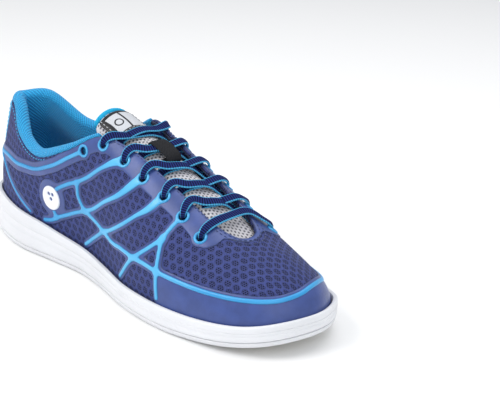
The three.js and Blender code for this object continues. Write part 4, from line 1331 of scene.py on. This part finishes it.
def lace_half(first, second, heights):
    """Stops from the sixth eyelet to the first, then down inside the shoe."""
    def pick(k, same):
        return (first if (6 - k + (0 if same else 1)) % 2 == 0 else second)[6 - k]

    sign = 1
    stops = through_hole(pick(6, True), sign)
    for i, k in enumerate((6, 5, 4, 3, 2)):
        sign = -sign
        stops += crossing(pick(k, True), pick(k - 1, False), pick(k - 1, True), pick(k, False),
                          heights[i], sign)
        stops += through_hole(pick(k - 1, True), sign)
    t, s = pick(1, True)
    ahead = 1 if t < TOE else -1
    for dt, ds, deeper, w in ((0.25, 0.1, 0.2, 0.5), (0.4, 0.2, 0.5, 0.5), (0.5, 0.32, 0.9, 0.4)):
        stops.append(stop(upper(t + ahead * dt, s - ds, -BELOW - deeper), -sign * normal(t, s), w, 1.8))
    return stops


def lace_stops():
    bar = [stop(upper(t, s, ABOVE), normal(t, s))
           for t, s in ((9.5, 0.83), (9.85, 0.99), (15.05, 0.99), (15.1, 0.83))]
    middle = mix(bar[1][:3], bar[2][:3], 0.5)
    middle[2] = max(middle[2], float(tongue_top_z(middle[0], middle[1])) + CROSSED) + 0.6
    bar.insert(2, stop(middle, (0.3, 0, 1)))
    arch = lace_half(EYE_M, EYE_L, (OVER_TONGUE, CROSSED, OVER_TONGUE, CROSSED, CROSSED))
    outer = lace_half(EYE_L, EYE_M, (CROSSED, OVER_TONGUE, CROSSED, OVER_TONGUE, OVER_TONGUE))
    return np.array(arch[::-1] + bar + outer)


def centripetal(stops, per_span):
    """Centripetal Catmull-Rom through the stops' places; their other values follow evenly."""
    p = stops[:, :3]
    p = np.concatenate([[2 * p[0] - p[1]], p, [2 * p[-1] - p[-2]]])
    chord = np.maximum(np.linalg.norm(np.diff(p, axis=0), axis=1), 1e-6)
    knots = np.concatenate([[0], np.cumsum(chord**0.5)])
    out = []
    for i in range(1, len(p) - 2):
        f = np.linspace(0, 1, per_span, endpoint=False)
        k = mix(knots[i], knots[i + 1], f)[:, None]
        k0, k1, k2, k3 = knots[i - 1 : i + 3]
        a1 = (k1 - k) / (k1 - k0) * p[i - 1] + (k - k0) / (k1 - k0) * p[i]
        a2 = (k2 - k) / (k2 - k1) * p[i] + (k - k1) / (k2 - k1) * p[i + 1]
        a3 = (k3 - k) / (k3 - k2) * p[i + 1] + (k - k2) / (k3 - k2) * p[i + 2]
        b1 = (k2 - k) / (k2 - k0) * a1 + (k - k0) / (k2 - k0) * a2
        b2 = (k3 - k) / (k3 - k1) * a2 + (k - k1) / (k3 - k1) * a3
        c = (k2 - k) / (k2 - k1) * b1 + (k - k1) / (k2 - k1) * b2
        rest = mix(stops[i - 1, 3:], stops[i, 3:], smooth(f)[:, None])
        out.append(np.concatenate([c, rest], 1))
    return np.concatenate(out + [stops[-1:]])


def evenly(path, step, reach):
    """The path resampled every step mm and softened over reach steps."""
    run = run_length(path[:, :3])
    at = np.linspace(0, run[-1], int(run[-1] / step))
    path = np.stack([np.interp(at, run, column) for column in path.T], 1)
    window = np.exp(-0.5 * (np.arange(-3 * reach, 3 * reach + 1) / reach) ** 2)
    window /= window.sum()
    longer = np.pad(path, ((3 * reach, 3 * reach), (0, 0)), mode="edge")
    return np.stack([np.convolve(column, window, "valid") for column in longer.T], 1), at


class SHOE_OT_lace(bpy.types.Operator):
    """Flat lace through its eyelets, and its two aglets"""

    bl_idname = "shoe.lace"
    bl_label = "Lace"

    def execute(self, context):
        s = settings()
        width = s.lace_width / MM
        path, run = evenly(centripetal(lace_stops(), 12), 0.55, 5)
        place, way = path[:, :3], path[:, 3:6]
        ahead = unit(np.gradient(place, axis=0))
        side = unit(np.cross(ahead, way))
        lift = np.cross(side, ahead)
        angle = np.linspace(0, 2 * math.pi, 18, endpoint=False)
        across = np.sign(np.cos(angle)) * np.abs(np.cos(angle)) ** 0.45 / 2
        thick = np.sign(np.sin(angle)) * np.abs(np.sin(angle)) ** 0.7 / 2
        rib = 1 + 0.06 * np.sin(run * 2 * math.pi / LACE_RIB)
        rings = place[:, None] + side[:, None] * (across[None] * (path[:, 6] * width)[:, None])[..., None]
        rings = rings + lift[:, None] * (thick[None] * (path[:, 7] * rib)[:, None] * 0.8)[..., None]
        lace = rings_mesh("flat_lace", rings, spread_uv(run[:, None], across * width, rings.shape[:2]))
        finish_with(lace, SHOE, lace_finish("lace_weave", s.lace, s.line_light, width), ["lace"])
        tip = speckled("aglet_sheath", (0.35, 0.6, 0.8), 0.25, 2.0, 0.03)
        repaint("aglet_medial", tip)
        repaint("aglet_lateral", tip)
        return {"FINISHED"}


# ---------------------------------------------------------------- stitching
def stitch_tree(material):
    """Geometry Nodes tree that lays one rounded stitch after another along a line."""
    tree = bpy.data.node_groups.new("stitch_run", "GeometryNodeTree")
    sockets = tree.interface
    sockets.new_socket("Line", in_out="INPUT", socket_type="NodeSocketGeometry")
    ids = {key: sockets.new_socket(key, in_out="INPUT", socket_type="NodeSocketFloat").identifier
           for key in ("Pitch", "Length", "Width")}
    sockets.new_socket("Stitches", in_out="OUTPUT", socket_type="NodeSocketGeometry")
    n = {key: tree.nodes.new(kind) for key, kind in {
        "in": "NodeGroupInput", "curve": "GeometryNodeMeshToCurve", "even": "GeometryNodeResampleCurve",
        "bead": "GeometryNodeMeshUVSphere", "shape": "ShaderNodeCombineXYZ",
        "place": "GeometryNodeInstanceOnPoints", "way": "GeometryNodeInputTangent",
        "turn": "FunctionNodeAlignRotationToVector", "half": "ShaderNodeMath", "thin": "ShaderNodeMath",
        "real": "GeometryNodeRealizeInstances", "paint": "GeometryNodeSetMaterial",
        "smooth": "GeometryNodeSetShadeSmooth", "out": "NodeGroupOutput"}.items()}
    n["even"].mode = "LENGTH"
    n["turn"].axis = "X"
    for key, value in (("Segments", 8), ("Rings", 5), ("Radius", 1.0)):
        n["bead"].inputs[key].default_value = value
    for key in ("half", "thin"):
        n[key].operation = "MULTIPLY"
        n[key].inputs[1].default_value = 0.5
    n["paint"].inputs["Material"].default_value = material
    for source, out, target, into in (
        ("in", "Line", "curve", 0), ("curve", 0, "even", "Curve"), ("in", "Pitch", "even", "Length"),
        ("in", "Length", "half", 0), ("in", "Width", "thin", 0), ("half", 0, "shape", 0),
        ("thin", 0, "shape", 1), ("thin", 0, "shape", 2), ("way", 0, "turn", "Vector"),
        ("even", 0, "place", "Points"), ("bead", 0, "place", "Instance"), ("turn", 0, "place", "Rotation"),
        ("shape", 0, "place", "Scale"), ("place", 0, "real", 0), ("real", 0, "smooth", 0),
        ("smooth", 0, "paint", 0), ("paint", 0, "out", 0),
    ):
        tree.links.new(n[source].outputs[out], n[target].inputs[into])
    return tree, ids


def stitched(name, lines, colour, body):
    """Stitches along lines of points, as one plain mesh on one body."""
    s = settings()
    material = thread_finish(name + "_thread", colour)
    verts, edges = [], []
    for line in lines:
        base = len(verts)
        verts += [tuple(p) for p in (np.asarray(line) - ORIGIN) * MM]
        edges += [(base + k, base + k + 1) for k in range(len(line) - 1)]
    mesh = bpy.data.meshes.new(name + "_run")
    mesh.from_pydata(verts, edges, [])
    run = placed(name + "_run", mesh)
    tree, ids = stitch_tree(material)
    modifier = run.modifiers.new("stitches", "NODES")
    modifier.node_group = tree
    for key, value in (("Pitch", s.stitch_pitch), ("Length", s.stitch_length), ("Width", s.stitch_width)):
        modifier[ids[key]] = value
    made = bpy.data.meshes.new_from_object(run.evaluated_get(bpy.context.evaluated_depsgraph_get()))
    bpy.data.objects.remove(run)
    if not len(made.polygons):
        raise RuntimeError("no stitches were made for " + name)
    made.name = name
    return finish_with(placed(name, made), body, material)


class SHOE_OT_stitching(bpy.types.Operator):
    """Rows of stitches on the throat, collar, heel patch and tongue label"""

    bl_idname = "shoe.stitching"
    bl_label = "Stitching"

    def execute(self, context):
        s = settings()

        def on_upper(t0, t1, h0, h1, off, count=160):
            return upper(np.linspace(t0, t1, count), np.linspace(h0, h1, count), off)

        throat = [on_upper(t0, t1, h, h, 0.72) for t0, t1, h in (
            (6.05, 9.6, 0.955), (15.0, 18.7, 0.955), (9.9, 14.7, 0.945), (9.75, 14.85, 0.9))]
        stitched("throat_stitches", throat, shade(s.film, 0.55), SHOE)
        collar = [on_upper(t0, t1, 0.955, 0.955, 0.15) for t0, t1 in ((-3.6, -0.75), (1.0, 4.9))]
        stitched("collar_stitches", collar, shade(s.lining, 0.8), SHOE)
        t0, t1 = -0.5, 0.75
        patch = [on_upper(t0, t1, h, h, 1.0, 40) for h in (0.45, 0.92)]
        patch += [on_upper(t, t, 0.44, 0.93, 1.0, 60) for t in (t0, t1)]
        stitched("heel_patch_stitches", patch, shade(s.line_light, 0.9), SHOE)
        x = np.linspace(108.0, 125.0, 40)
        label = [tongue_point(x, y, 1.0) for y in (-11.9, 11.9)]
        label.append(tongue_point(124.8, np.linspace(-11.6, 11.6, 50), 1.0))
        stitched("badge_stitches", label, (0.5, 0.51, 0.54), TONGUE_TOP)
        return {"FINISHED"}


OPERATORS = (
    SHOE_OT_stage, SHOE_OT_sole, SHOE_OT_insole, SHOE_OT_upper, SHOE_OT_collar, SHOE_OT_film, SHOE_OT_trim,
    SHOE_OT_tongue, SHOE_OT_lace, SHOE_OT_stitching,
)


class SHOE_PT_panel(bpy.types.Panel):
    """The shoe's sizes, colours and pieces"""

    bl_idname = "SHOE_PT_panel"
    bl_label = "Bowling Shoe"
    bl_space_type = "VIEW_3D"
    bl_region_type = "UI"
    bl_category = "Shoe"

    def draw(self, context):
        for key in ShoeSettings.__annotations__:
            self.layout.prop(context.scene.shoe_settings, key)
        for operator in OPERATORS:
            self.layout.operator(operator.bl_idname)


CLASSES = (ShoeSettings, *OPERATORS, SHOE_PT_panel)


def register():
    for cls in CLASSES:
        bpy.utils.register_class(cls)
    bpy.types.Scene.shoe_settings = bpy.props.PointerProperty(type=ShoeSettings)


def unregister():
    del bpy.types.Scene.shoe_settings
    for cls in reversed(CLASSES):
        bpy.utils.unregister_class(cls)


def main():
    register()
    for operator in OPERATORS:
        group, name = operator.bl_idname.split(".")
        getattr(getattr(bpy.ops, group), name)()


if __name__ == "__main__":
    main()
